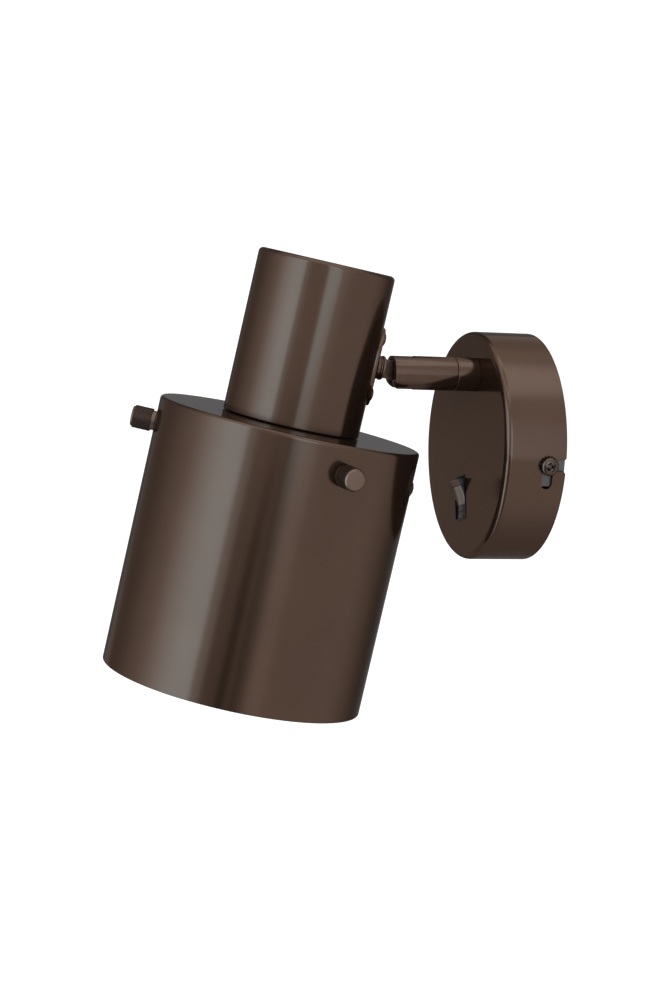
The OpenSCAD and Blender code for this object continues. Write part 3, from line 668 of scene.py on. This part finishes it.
@dataclass
class Canopy(Assembly):
    """The round cover on the wall, with its side screws and what stands behind it."""

    r: float = 50.0
    depth: float = 27.4
    wall: float = 1.2
    edge_r: float = 2.8
    slot_w: float = 4.8
    slot_reach: float = 8.1
    slot_flare: float = 1.9
    slot_mouth: float = 0.9
    entry: float = 10.5
    lock: float = 1.5
    nipple_r: float = 5.05
    washer_t: float = 0.7
    ear_start: float = 42.0
    ear_edge: float = 6.4
    ear_longer: float = 2.5

    def slot_tool(self, side: float) -> Object:
        """The cutting tool of one bayonet slot, for the side at 0 or 180 degrees."""
        half, reach, mouth = self.slot_w / 2, self.slot_reach, self.slot_mouth
        rise = self.r * math.sin(math.radians((self.entry - self.lock) / 2))
        line = [(1.0, rise + half + self.slot_flare), (-mouth, rise + half),
                *arc(-reach, rise, half, 90, 90, 10), *arc(-reach, -rise, half, 180, 180, 20),
                (-reach + half, rise - half - 0.6), (-reach + half + 0.18, rise - half - 0.18),
                (-reach + half + 0.6, rise - half), (-mouth, rise - half), (1.0, rise - half - self.slot_flare)]
        place = turn(side, "Y") @ turn(-(self.entry + self.lock) / 2, "Y") @ shift(self.r - 3, 0, 0)
        return prism(line, 0, 6, place @ turn(90, "X") @ turn(90, "Y"))

    def cover(self, switch: "Switch") -> Object:
        """The cover, turned and cut."""
        r, d, w, e = self.r, self.depth, self.wall, self.edge_r
        shell = turned("canopy_shell", [
            (r, 0, 0.25), (r, d, e), (0, d), (0, d - w), (r - w, d - w, e - w), (r - w, 0, 0.25)], OUT, 256)
        return combine(shell, [
            self.slot_tool(0), self.slot_tool(180),
            rod(self.nipple_r, d - 3, d + 1, shift(0, 0, FRAMES.arm_rise) @ OUT), switch.window()])

    def side_screws(self) -> None:
        """The two side screws and their toothed washers."""
        head, t = Fastener(7.8, 2.6, 4.0, 4.2), self.washer_t
        steel = SCREW_STEEL.material(LEVEL)
        screws, rings = [], []
        for side in (0, 180):
            foot = turn(side - self.entry, "Y") @ shift(0, -self.slot_reach, 0) @ turn(90, "Y")
            screws.append(head.build(foot @ shift(0, 0, self.r + 0.1 + t), 32))
            place = foot @ shift(0, 0, self.r + 0.05)
            rings.append(turned("ring", [
                (2.05, 0.08), (3.7, 0.08, 0.1), (3.7, t - 0.1, 0.1), (2.05, t - 0.1)], place, 48))
            rings.append(RidgeRing(18, 3.9, 0.75, 0.95, 0.26, t / 2, 28).make(place, steel))
        self.add(merge_objects("canopy_side_screws", screws), [steel], ["side_screws"], "screw_steel")
        self.add(merge_objects("canopy_star_washers", rings), [steel], ["side_washers"], "screw_steel")

    def behind(self) -> None:
        """The wall plate and the pieces that it carries."""
        zinc, brass, nylon = (finish.material(LEVEL) for finish in (ZINC, BRASS, NYLON))
        plate = cad_copy("wall_plate_pressed", "wall_plate")
        level = turn(-self.entry, "Y")
        for vertex in plate.data.vertices:
            at = level.inverted() @ (vertex.co / MM)
            side = math.copysign(1, at.x)
            if abs(at.x) > self.ear_start and at.z * side < -self.ear_edge:
                vertex.co = (level @ (at - Vector((0, 0, self.ear_longer * side)))) * MM
        self.add(plate, [DARK_ZINC.material(LEVEL)], ["wall_plate"], "zinc", angle=8)
        block = soften(cad_copy("terminal_block_moulded", "terminal_block"), 0.25)
        self.add(block, [nylon], ["terminal_block"], "block_plastic", angle=32)
        self.dress_nodes(brass, "terminal_tubes", "switch_tabs", "swivel_nipple")
        self.dress_nodes(zinc, "terminal_screws", "nipple_washer", "nipple_nut", "swivel_nut")
        earth = Fastener(7.8, 2.6, 4.0, 2.4).build(shift(-22, -2.55, -22) @ OUT, 45)
        ring = turned("ring", [(2.05, 0), (4.5, 0, 0.15), (4.5, 0.95, 0.15), (2.05, 0.95)],
                      shift(-22, -1.56, -22) @ OUT, 48)
        self.add(merge_objects("earth_screw_and_washer", [earth, ring]), [brass], ["earth_screw"], "brass")
        fixing = Fastener(5.6, 2.0, 3.0, 14.4).build(shift(-4.5, -14.6, 7.5) @ OUT, 20, "block_screw_domed")
        self.add(fixing, [zinc], ["block_screw"], "zinc")
        grommet = turned("cable_grommet_moulded", [
            (4.5, 0.1, 0.3), (6.95, 0.1), (6.95, 1.55), (9, 1.55, 0.4), (9, 3.55, 0.7), (4.5, 3.55, 0.7)],
            shift(0, 0, -10) @ OUT, 64)
        self.add(grommet, [RUBBER.material(LEVEL)], ["cable_grommet"], "rubber")

    def build(self, switch: "Switch") -> None:
        """Builds the canopy and what it holds.

        Args:
            switch: the switch, whose rim shows in the cover.
        """
        self.add(self.cover(switch), [BRONZE.material(OUT, Grain.ROUND)], ["canopy_cover"])
        self.side_screws()
        self.behind()


@dataclass
class Switch(Assembly):
    """The rocker switch in the canopy's face."""

    side: float = 4.0
    depth: float = 27.4
    drop: float = 23.2
    turned_by: float = 28.0
    rocker_w: float = 11.4
    rocker_r: float = 9.0
    rocker_low: float = -6.0
    rocker_angle: float = 12.0
    pivot: float = 1.0
    window_gap: float = 2.1
    window_r: float = 1.75

    @property
    def place(self) -> Matrix:
        """The switch's frame: Z out of the face and Y along the rocker."""
        return shift(self.side, -self.depth, -self.drop) @ turn(-self.turned_by, "Y") @ OUT

    def window(self) -> Object:
        """Cutting tool for the hole in the cover that its rim shows in."""
        shape = rounded_box(self.rocker_w + self.window_gap, 2 * self.rocker_r + self.window_gap, self.window_r)
        return prism(shape, -3, 1, self.place)

    def dish(self, y: float) -> float:
        """Height of the rocker's face at a distance along it."""
        return 0.23 + 0.024 * y * y

    def rocker(self) -> Object:
        """The rocker: a dished face with a raised grip at each end, and its trunnions."""
        lip, half, groove, steps = 0.62 * self.rocker_r, self.rocker_w / 2, 0.22, 8
        tip = math.sqrt(self.rocker_r ** 2 - 2.8 ** 2)
        grip = self.dish(lip) + 0.9 * (tip - lip) / (self.rocker_r - lip)
        end = [(tip, grip), (lip + groove, self.dish(lip) + 0.06), (lip, self.dish(lip) - 0.25)]
        face = [(lip * k / steps - (groove if k == steps else 0), self.dish(lip * k / steps))
                for k in range(steps, -steps - 1, -1)]
        line = [(y, z + self.pivot) for y, z in end + face + [(-y, z) for y, z in reversed(end)]]
        line += [(y, max(z, self.rocker_low)) for y, z in arc(0, 0, self.rocker_r, 197, 146, 12)]
        place = self.place @ shift(0, 0, -self.pivot) @ turn(self.rocker_angle, "X")
        body = soften(prism(line, -half, half, place @ turn(90, "Z") @ turn(90, "X")), 0.16, 30)
        pins = [rod(1.0, low, low + 1.1, place @ turn(90, "Y")) for low in (-half - 0.6, half - 0.5)]
        # Faces that don't face out, and the lower end of the face, take the painted shade; the upper grip takes the
        # painted half shade; the rest of the face takes the painted light.
        return paint(
            merge_objects("switch_rocker_moulded", [body, *pins]), place,
            lambda at, out: 2 if out.z < 0.6 or at.y < -0.55 * lip else 1 if at.y > lip + groove / 2 else 0)

    def build(self) -> None:
        """Builds the switch."""
        housing = soften(cad_copy("switch_housing_moulded", "switch_housing"), 0.12)
        self.add(housing, [HOUSING.material(self.place)], ["switch_housing"], "black_plastic", angle=32)
        looks = [finish.material(self.place) for finish in ROCKER_LIT_AND_SHADED_TONES]
        self.add(self.rocker(), looks, ["switch_rocker"], body="rocker", angle=28)


@dataclass
class Arm(Assembly):
    """The collar, the swivelling arm with its fork, and the pin."""

    body: str = "arm"
    r: float = 7.3
    bore: float = 5.05
    foot: float = 27.45
    collar_end: float = 37.54
    start: float = 37.76
    tip: float = 66.2
    slot_w: float = 4.9
    slot_back: float = 5.1
    slot_r: float = 0.5
    low_r: float = 4.2
    top_r: float = 1.2
    pin_r: float = 2.0
    pin_cover: float = 6.95

    def fork(self) -> Object:
        """The arm tube with its plug, slotted for the tongue."""
        r, top, low, big = self.r, self.top_r, self.low_r, self.r + 3
        bar = turned("arm_fork", [
            (r, self.start, 0.25), (r, self.tip, 0.3), (2.0, self.tip), (2.0, 51.4), (6.3, 51.4), (6.3, 42.1),
            (self.bore, 42.1), (self.bore, self.start, 0.2)], FRAMES.arm @ OUT, 128)
        side = [(-self.start + 1, -big), (-self.start + 1, big), (-self.tip + top, big),
                *arc(-self.tip + top, r - top, top, 90, 90, 8), *arc(-self.tip + low, -r + low, low, 180, 90, 12),
                (-self.tip + low, -big)]
        combine(bar, [prism(side, -big, big, FRAMES.arm @ turn(90, "Z") @ turn(90, "X"))], Boolean.KEEP)
        half, end, e = self.slot_w / 2, FRAMES.pin_reach - self.slot_back, self.slot_r
        slot = [(half, -self.tip - 1), *arc(half - e, -end - e, e, 0, 90, 6), *arc(-half + e, -end - e, e, 90, 90, 6),
                (-half, -self.tip - 1)]
        combine(bar, [prism(slot, -big, big, FRAMES.arm),
                      rod(self.pin_r + 0.05, -big, self.pin_cover, FRAMES.pin_line)])
        # The walls inside the slot get the second material, which is painted shade.
        return paint(soften(bar, 0.14), FRAMES.arm, lambda at, _: abs(at.x) < half + 0.06 and at.y < -end + 0.1)

    def build(self) -> None:
        """Builds the arm."""
        place = FRAMES.arm @ OUT
        # The second material is the slot's painted shade, which the swivel washer also wears as its own black.
        bronze, dark = BRONZE_SMALL.material(place, Grain.ROUND), SLOT_SHADE_AND_WASHER_BLACK.material(place)
        collar = turned("arm_collar_turned", [
            (self.bore, self.foot), (self.r, self.foot, 0.2), (self.r, self.collar_end, 0.3),
            (self.bore, self.collar_end)], place, 128)
        self.add(collar, [bronze], ["arm_collar"], body="wall_mount")
        low, high, r = self.collar_end + 0.01, self.start - 0.01, self.r - 0.18
        washer = turned("swivel_washer_thin", [(self.bore, low), (r, low), (r, high), (self.bore, high)], place)
        self.add(washer, [dark], ["swivel_washer"], "black_plastic", "wall_mount")
        self.add(self.fork(), [bronze, dark], ["arm_tube", "arm_plug"])
        reach = math.sqrt(self.r ** 2 - self.pin_r ** 2) - 0.1
        pin = turned("knuckle_pin_domed", [
            (0, -reach - 0.05), (self.pin_r, -reach, 0.3), (self.pin_r, reach, 0.3), (0, reach + 0.05)],
            FRAMES.pin_line, 64)
        self.add(pin, [bronze], ["knuckle_pin"])
        self.dress_nodes(ZINC.material(place), "friction_washers")


def saddle_holes() -> list[Object]:
    """Cutting tools for the screws and the stud that pass through the saddle plate and the cup."""
    pitch = FRAMES.saddle_pitch / 2
    return [rod(r, 20, 40, FRAMES.radial(90, z)) for z, r in ((pitch, 2.05), (-pitch, 2.05), (0, 3.55))]


@dataclass
class Knuckle(Assembly):
    """The tongue with its shoulder and washers, and the saddle plate on the cup."""

    body: str = "head"
    tongue_h: float = 8.1
    tongue_t: float = 4.2
    shoulder_r: float = 5.25
    washer_t: float = 2.55
    stud_r: float = 3.5
    stud_len: float = 7.1
    saddle_len: float = 34.0
    saddle_w: float = 30.0
    saddle_t: float = 1.3
    saddle_corner: float = 13.0

    @property
    def face(self) -> float:
        """Distance from the pin to the face of the shoulder."""
        return FRAMES.stem_len - self.saddle_t - self.washer_t - 0.05

    def tongue(self) -> Object:
        """The tongue: a flat eye, a round shoulder and a hollow stud."""
        face, half, r, end = self.face, self.tongue_h / 2, self.shoulder_r, FRAMES.stem_len + self.stud_len
        eye = [*arc(0, 0, half, 180, 180, 24), (half, face - 0.9), (-half, face - 0.9)]
        flat = prism(eye, -self.tongue_t / 2, self.tongue_t / 2, FRAMES.stem @ turn(90, "Y") @ turn(90, "Z"),
                     "knuckle_tongue_milled")
        stem = turned("stem", [
            (0, face - 1.3), (r, face - 1.3, 0.55), (r, face - 0.05, 0.15), (self.stud_r, face - 0.05),
            (self.stud_r, end, 0.4), (0, end)], FRAMES.stem)
        combine(flat, [stem], Boolean.JOIN)
        return soften(combine(flat, [rod(2.05, -9, 9, FRAMES.stem @ turn(90, "Y")),
                                     rod(1.4, 4.0, end + 2, FRAMES.stem)]), 0.15)

    def saddle(self) -> Object:
        """The plate that is bent round the cup, with rounded corners."""
        inner, outer, half = FRAMES.cup_r + 0.05, FRAMES.cup_r + self.saddle_t, self.saddle_len / 2
        ring = turned("saddle_plate_bent", [(inner, -half), (outer, -half), (outer, half), (inner, half)],
                      FRAMES.head, 256)
        shape = rounded_box(2 * outer * math.sin(self.saddle_w / outer / 2), self.saddle_len, self.saddle_corner, 12)
        combine(ring, [prism(shape, -outer - 1, -15, FRAMES.head @ turn(90, "X"))], Boolean.KEEP)
        return soften(combine(ring, saddle_holes()), 0.18)

    def build(self) -> None:
        """Builds the knuckle and the saddle."""
        bronze, plain = BRONZE_SMALL.material(FRAMES.stem, Grain.ROUND), BRONZE_SMALL.material(FRAMES.head, Grain.FLAT)
        self.add(self.tongue(), [BRONZE_SATIN_PAINTED_LIGHT.material(FRAMES.stem)], ["knuckle_tongue"])
        face, r, t = self.face, self.shoulder_r, self.washer_t
        discs = turned("knuckle_washer_grooved", [
            (3.55, face), (r - 0.5, face, 0.2), (r - 0.5, face + 0.75, 0.2), (r - 0.9, face + 0.95),
            (r, face + 1.15, 0.3), (r, face + t, 0.3), (3.55, face + t)], FRAMES.stem)
        self.add(discs, [bronze], ["knuckle_washer"])
        self.add(self.saddle(), [plain], ["saddle_plate"])
        screw, out = Fastener(6.6, 2.0, 4.0, 9.0), shift(0, 0, FRAMES.cup_r + self.saddle_t + 0.05)
        screws = [screw.build(FRAMES.radial(90, s * FRAMES.saddle_pitch / 2) @ out, 20 + 40 * s) for s in (-1, 1)]
        self.add(merge_objects("saddle_screws_domed", screws), [plain], ["saddle_screws"])
        self.dress_nodes(ZINC.material(FRAMES.head), "knuckle_nut", "saddle_nuts")


@dataclass
class Head(Assembly):
    """The cup, the cap and the drum shade."""

    body: str = "head"
    cup_top: float = 39.0
    cup_low: float = -30.8
    cup_edge: float = 2.0
    drum_len: float = 115.5
    wall: float = 1.0
    rim: float = 1.8
    collar: float = 25.0
    collar_t: float = 1.2
    hole_r: float = 19.8

    @property
    def collar_r(self) -> float:
        """Outer radius of the ring under the cap."""
        return FRAMES.drum_r - self.wall - 0.25

    def cup(self) -> Object:
        """The closed cup, with the holes for its screws."""
        r, w, top, low, edge = FRAMES.cup_r, self.wall, self.cup_top, self.cup_low, self.cup_edge
        cup = turned("cup_spun", [
            (r, low, 0.35), (r, top, edge), (0, top), (0, top - w), (r - w, top - w, edge - w + 0.2),
            (r - w, low, 0.35)], FRAMES.head, 256)
        return combine(cup, saddle_holes())

    def cap(self) -> Object:
        """The drum's cap: a plate with a rounded rim."""
        r, top, hole, inner = FRAMES.drum_r, FRAMES.cap_top, self.hole_r, self.collar_r - self.collar_t
        low = top - self.wall
        return turned("shade_cap_spun", [
            (hole, top, 0.2), (r, top, 1.3), (r, top - self.rim), (inner, top - self.rim, 0.2), (inner, low),
            (hole, low, 0.2)], FRAMES.head, 256)

    def build(self, screws: "ThumbScrews") -> None:
        """Builds the head.

        Args:
            screws: the thumb screws, whose holes pass through the drum and the ring.
        """
        bronze, white = BRONZE.material(FRAMES.head, Grain.ROUND), LACQUER.material(FRAMES.head)
        self.add(self.cup(), [bronze], ["socket_cup"])
        cap = paint(self.cap(), FRAMES.head, lambda at, _: at.z < FRAMES.cap_top - 0.5
                    and math.hypot(at.x, at.y) < self.collar_r)
        self.add(cap, [bronze, white], ["shade_cap"])
        r, t, top, low = self.collar_r, self.collar_t, FRAMES.cap_top - self.rim, FRAMES.cap_top - self.collar
        ring = [(r, low, 0.3), (r, top - 0.05, 0.1), (r - t, top - 0.05, 0.1), (r - t, low, 0.3)]
        collar = combine(turned("cap_collar_rolled", ring, FRAMES.head, 192), screws.tools(3.05))
        self.add(collar, [ZINC.material(FRAMES.head, Grain.ROUND)], ["cap_collar"], "zinc")
        r, t, low = FRAMES.drum_r, self.wall, FRAMES.cap_top - self.drum_len
        tube = [(r, low, 0.45), (r, top), (r - t, top), (r - t, low, 0.45)]
        drum = combine(turned("drum_shade_rolled", tube, FRAMES.head, 256), screws.tools(2.25))
        paint(drum, FRAMES.head, lambda at, _: math.hypot(at.x, at.y) < r - 0.55)
        self.add(drum, [bronze, white], ["drum_shade"])


@dataclass
class ThumbScrews(Assembly):
    """Three knurled thumb screws and the bushes that they turn in."""

    body: str = "head"
    r: float = 4.9
    length: float = 8.8
    neck_r: float = 4.2
    neck_len: float = 1.7
    thread_r: float = 2.0
    thread_end: float = 48.6
    ridges: int = 34
    ridge_w: float = 0.48
    depth: float = 0.42
    places: tuple[tuple[str, float, float], ...] = (("front", 10, 12.1), ("left", -110, 12.1), ("rear", 104, 18.8))

    def tools(self, r: float) -> list[Object]:
        """Cutting tools for the holes."""
        return [rod(r, 40, 60, FRAMES.radial(angle, FRAMES.cap_top - drop)) for _, angle, drop in self.places]

    def build(self) -> None:
        """Builds the screws and their bushes."""
        self.dress_nodes(BRASS.material(FRAMES.head), "thumb_bushes")
        base = FRAMES.drum_r + 0.05
        head, root, grip = base + self.neck_len, self.r - self.depth, self.length - 1.15
        end = head + self.length
        for name, angle, drop in self.places:
            place = FRAMES.radial(angle, FRAMES.cap_top - drop)
            # The ridges take painted light and the groove floors take painted shade.
            ridge, groove = BRONZE_KNURL_PAINTED_LIGHT.material(place, Grain.ROUND), BRONZE_GROOVE_PAINTED_SHADE.material(place)
            screw = turned("screw", [
                (0, self.thread_end), (self.thread_r, self.thread_end, 0.4), (self.thread_r, base),
                (self.neck_r, base, 0.15), (self.neck_r, head), (root, head, 0.25), (root, end - 0.85),
                (self.r - 0.85, end - 0.12, 0.25), (0, end)], place)
            # The groove floors between the ridges get the second material, which is painted shade.
            paint(screw, place,
                  lambda at, _: head + 0.3 < at.z < end - 0.9 and math.hypot(at.x, at.y) > root - 0.05)
            knurl = RidgeRing(self.ridges, root - 0.02, self.ridge_w, 2 * self.depth, grip, head + grip / 2 + 0.1)
            piece = merge_objects(f"thumb_screw_{name}_knurled", [screw, knurl.make(place, ridge)])
            self.add(piece, [ridge, groove], [f"thumb_screw_{name}"], body=f"{name}_screw")


@dataclass
class LampHolder(Assembly):
    """The screw holder that hangs in the cup and shows inside the drum."""

    body: str = "head"
    r: float = 19.75
    bore: float = 13.3
    pitch: float = 3.63
    depth: float = 0.3332
    below: float = 8.05
    shell_len: float = 23.05

    def threaded_shell(self, low: float, high: float) -> Object:
        """The brass shell, with the round thread of a screw lamp pressed in it."""
        bm = bmesh.new()
        around, along = 96, int((high - low) / 0.3)
        walls: list[list] = [[], []]
        for side, rows in enumerate(walls):
            for j in range(along + 1):
                z = low + (high - low) * j / along
                depth = self.depth * max(0.0, min(1.0, (z - low) / 1.5, (high - z) / 1.5))
                row = []
                for k in range(around):
                    a = 2 * math.pi * k / around
                    wave = 0.5 + 0.5 * math.cos(2 * math.pi * z / self.pitch - a)
                    r = self.bore + 0.02 + side * 0.22 + depth * wave
                    row.append(bm.verts.new((r * math.cos(a), r * math.sin(a), z)))
                rows.append(row)
        skin(bm, walls[0] + walls[1][::-1])
        return to_object("screw_shell_threaded", bm, FRAMES.head)

    def build(self) -> None:
        """Builds the holder."""
        head, top, r, inner = FRAMES.head, FRAMES.cap_top, self.r, self.bore + 0.65
        black, brass, zinc, ceramic = (finish.material(head) for finish in (BLACK, BRASS, ZINC, CERAMIC))
        low = top - self.below
        core = low + 0.3 + self.shell_len
        join = core + 5.45
        skirt = turned("holder_skirt_moulded", [
            (inner, low, 0.4), (r, low, 0.6), (r, top + 0.05), (r + 3.2, top + 0.05, 0.2), (r + 3.2, top + 2.05, 0.5),
            (r, top + 2.05), (r, join), (r - 2, join), (r - 2, core - 0.05), (inner, core - 0.05)], head, 128)
        self.add(skirt, [black], ["holder_skirt"], "black_plastic")
        foot, flange, rim = top - 7.55, top - 3.05, top - 1.05
        ring = turned("ring", [
            (r + 0.05, foot, 0.3), (r + 2.1, foot, 0.5), (r + 2.1, flange), (26, flange, 0.4), (26, rim, 0.4),
            (r + 0.05, rim)], head, 128)
        ribs = RidgeRing(36, r + 2.1, 1.1, 0.7, flange - foot - 0.8, (flange + foot) / 2).make(head, black)
        self.add(merge_objects("holder_ring_ribbed", [ring, ribs]), [black], ["holder_ring"], "black_plastic")
        shell = self.threaded_shell(core - self.shell_len, core + 2.4)
        self.add(shell, [brass], ["screw_shell"], "brass", angle=60)
        contact = turned("centre_contact_riveted", [
            (0, core + 2.5), (3.9, core + 2.5, 0.5), (3.9, core + 3.9, 0.2), (1.5, core + 3.9),
            (1.5, core + 11.4, 0.2), (0, core + 11.4)], head, 64)
        self.add(contact, [brass], ["centre_contact"], "brass")
        self.dress_nodes(ceramic, "holder_core")
        self.dress_nodes(black, "holder_cap")
        self.dress_nodes(brass, "holder_nipple")
        self.dress_nodes(zinc, "holder_bridge", "holder_nuts")


# Studio

@dataclass(frozen=True)
class Card:
    """A panel or a flag of the studio, with soft edges.

    Args:
        left, right: its edges round the lamp, in degrees, with 0 in front of the wall and 90 to its right.
        blur: how wide these two fade.
        low, high: its edges above the horizon, in degrees.
        strength: how bright it is, where 1 is white paper.
        cool: its tint, from warm 0 to cool 1.
    """

    left: float
    right: float
    blur: tuple[float, float]
    low: float
    high: float
    strength: float
    cool: float = 0.0


@dataclass(frozen=True)
class LightTent:
    """The studio round the lamp, which the metal mirrors. The cards lie over each other in their order."""

    room: float = 0.47
    ceiling: float = 1.24
    over: float = 2.3
    ground: float = 0.48
    fill: float = 0.85
    rise_blur: float = 2.5
    cool: Colour = (0.7, 1.03, 1.3)
    cards: tuple[Card, ...] = (
        Card(84, 179, (7, 46), -90, 90, 1.02, 0.05),  # the room on the right
        Card(-20, 39, (60, 1), -90, 90, 1.5, 0.2),  # a warm wash in front
        Card(5, 39, (42, 1), -90, 90, 3.5, 0.95),  # the large soft box in front
        Card(39, 47.5, (1, 2), -90, 90, 1.45, 0.55),  # its frame
        Card(47, 61, (1, 1), 6, 10.2, 0.55),  # a table's edge
        Card(61, 68.5, (1, 1), -90, 8.5, 0.07),  # a black flag
        Card(73, 79, (1, 4), -90, 8.5, 0.24),  # a second flag
        Card(88, 100, (5, 5), -90, 8, 1.28, 0.1),  # a bright edge beyond it
        Card(47, 160, (1, 30), 10.2, 90, 1.02),  # a pale wall above them
        Card(78.5, 101.5, (4, 5), 8.6, 90, 3.2, 1.0),  # a strip light
        Card(84, 99, (3, 6), 6.2, 8.6, 1.9, 0.6),  # and its lower end
        Card(103, 122, (4, 25), 7, 90, 1.6, 0.35),  # its glow on the wall
        Card(200, 264, (26, 2), -90, 90, 0.22, 0.1),  # the dark behind the lamp
        Card(222, 250, (10, 8), 11, 90, 0.9),  # a pale board there
        Card(-82, -49, (6, 16), -90, 90, 0.37, 0.1),  # a grey curtain on the left
        Card(-104, -80, (2, 8), -90, 90, 0.14, 0.3),  # the dark beyond it
        Card(-74, -62, (4, 4), -90, -17.5, 0.56),  # paper on the floor there
    )

    def tone(self, strength: float, cool: float = 0.0) -> tuple[float, float, float, float]:
        """The colour of a strength and a tint."""
        return (*(strength * (1 - cool + c * cool) for c in self.cool), 1.0)

    def light(self, shader: Shader) -> Sock:
        """What metal mirrors, as a colour over the angle round the lamp and the rise above the horizon."""
        parts = shader.node("SeparateXYZ", {0: shader.node("TexCoord").out("Generated")})
        x, y, z = (parts.out(k) for k in range(3))
        angle = shader.calc("ARCTAN2", x, 0 - y) * (180 / math.pi)
        angle = angle + angle.below(-100) * 360
        rise = shader.calc("ARCSINE", z, 0.0) * (180 / math.pi)
        light: Value = self.tone(self.room)
        for card in self.cards:
            start, end = card.blur[0] / 2, card.blur[1] / 2
            mask = angle.step(card.left - start, card.left + start)
            mask = mask * (1 - angle.step(card.right - end, card.right + end))
            for edge, above in ((card.low, True), (card.high, False)):
                if abs(edge) < 90:
                    over = rise.step(edge - self.rise_blur / 2, edge + self.rise_blur / 2)
                    mask = mask * (over if above else 1 - over)
            light = shader.mix(mask, light, self.tone(card.strength, card.cool))
        light = shader.mix(rise.step(34, 50), light, self.tone(self.ceiling))
        light = shader.mix(rise.step(57, 67) * (1 - rise.step(70, 82)), light, self.tone(self.over, 0.3))
        return shader.mix((0 - rise).step(30, 75), light, self.tone(self.ground))

    def build(self) -> None:
        """Builds the world: white to the camera, the cards to metal and a plain fill to the rest."""
        world = bpy.data.worlds.new("studio")
        world.use_nodes = True
        bpy.context.scene.world = world
        shader = Shader(world.node_tree)
        path = shader.node("LightPath")
        white = (1, 1, 1, 1)
        plain, tent, paper = (shader.node("Background", {"Color": colour, "Strength": strength})
                              for colour, strength in ((white, self.fill), (self.light(shader), 1.0), (white, 1.0)))
        first = shader.node("MixShader", {0: path.out("Is Glossy Ray"), 1: plain, 2: tent})
        seen = path.out("Is Camera Ray") + path.out("Is Transmission Ray")
        second = shader.node("MixShader", {0: seen, 1: first, 2: paper})
        shader.node("OutputWorld", {"Surface": second})


@dataclass(frozen=True)
class Studio:
    """The floor, the lamp and the camera.

    The camera looks at a point in front of the wall, from an angle round it and above it, and leans a little.
    """

    azimuth: float = 71.667
    elevation: float = 20.255
    roll: float = 7.283
    distance: float = 941.62
    target: tuple[float, float, float] = (0.0, -90.0, 0.0)
    aim: Point = (1.437, -24.799)
    focal: float = 2182.75
    frame_height: float = 1000.0
    sensor: float = 36.0
    floor_drop: float = 1300.0
    floor_half: float = 30000.0
    key_size: float = 1.4
    key_power: float = 9.0

    def camera(self) -> None:
        """The camera at the photograph's angle."""
        a, e, roll = (math.radians(v) for v in (self.azimuth, self.elevation, self.roll))
        back = Vector((math.sin(a) * math.cos(e), -math.cos(a) * math.cos(e), math.sin(e)))
        right = Vector((0, 0, 1)).cross(back).normalized()
        up = back.cross(right)
        right, up = right * math.cos(roll) + up * math.sin(roll), up * math.cos(roll) - right * math.sin(roll)
        spot = Vector(self.target) + right * self.aim[0] + up * self.aim[1] + back * self.distance
        data = bpy.data.cameras.new("camera")
        data.lens = self.focal * self.sensor / self.frame_height
        data.sensor_width = self.sensor
        data.clip_start, data.clip_end = 0.05, 60
        camera = link("camera", data)
        camera.matrix_world = Matrix.Translation(spot * MM) @ Matrix((right, up, back)).transposed().to_4x4()
        bpy.context.scene.camera = camera

    def floor(self) -> None:
        """A plain pale floor, as far below the lamp as in a room."""
        bm = bmesh.new()
        bmesh.ops.create_grid(bm, x_segments=1, y_segments=1, size=self.floor_half)
        floor = to_object("floor", bm, shift(0, 0, -self.floor_drop))
        material = bpy.data.materials.new("pale_floor")
        material.use_nodes = True
        shader = Shader(material.node_tree)
        seen = shader.node("LightPath").out("Is Camera Ray")
        matt = shader.node("BsdfDiffuse", {"Color": (0.9, 0.9, 0.9, 1)})
        glow = shader.node("Emission", {"Color": (1, 1, 1, 1), "Strength": seen * 0.4})
        both = shader.node("AddShader", {0: matt, 1: glow})
        shader.node("OutputMaterial", {"Surface": both})
        floor.data.materials.append(material)
        floor.visible_glossy = False

    def key(self) -> None:
        """A large soft lamp above, for pieces that aren't metal."""
        data = bpy.data.lights.new("key", "AREA")
        data.shape, data.size, data.energy = "DISK", self.key_size, self.key_power
        lamp = link("key", data)
        lamp.visible_glossy = False
        place = Vector((0.9, -1.6, 1.6))
        lamp.matrix_world = Matrix.Translation(place) @ place.to_track_quat("Z", "Y").to_matrix().to_4x4()

    def build(self) -> None:
        """Builds the studio."""
        LightTent().build()
        self.floor()
        self.key()
        self.camera()
        bpy.context.scene.view_settings.view_transform = "Standard"


def main() -> None:
    """Builds the lamp and the studio."""
    logging.basicConfig(level=logging.INFO, format="%(message)s")
    Studio().build()
    switch = Switch()
    Canopy().build(switch)
    switch.build()
    Arm().build()
    Knuckle().build()
    screws = ThumbScrews()
    Head().build(screws)
    screws.build()
    LampHolder().build()


if __name__ == "__main__":
    main()
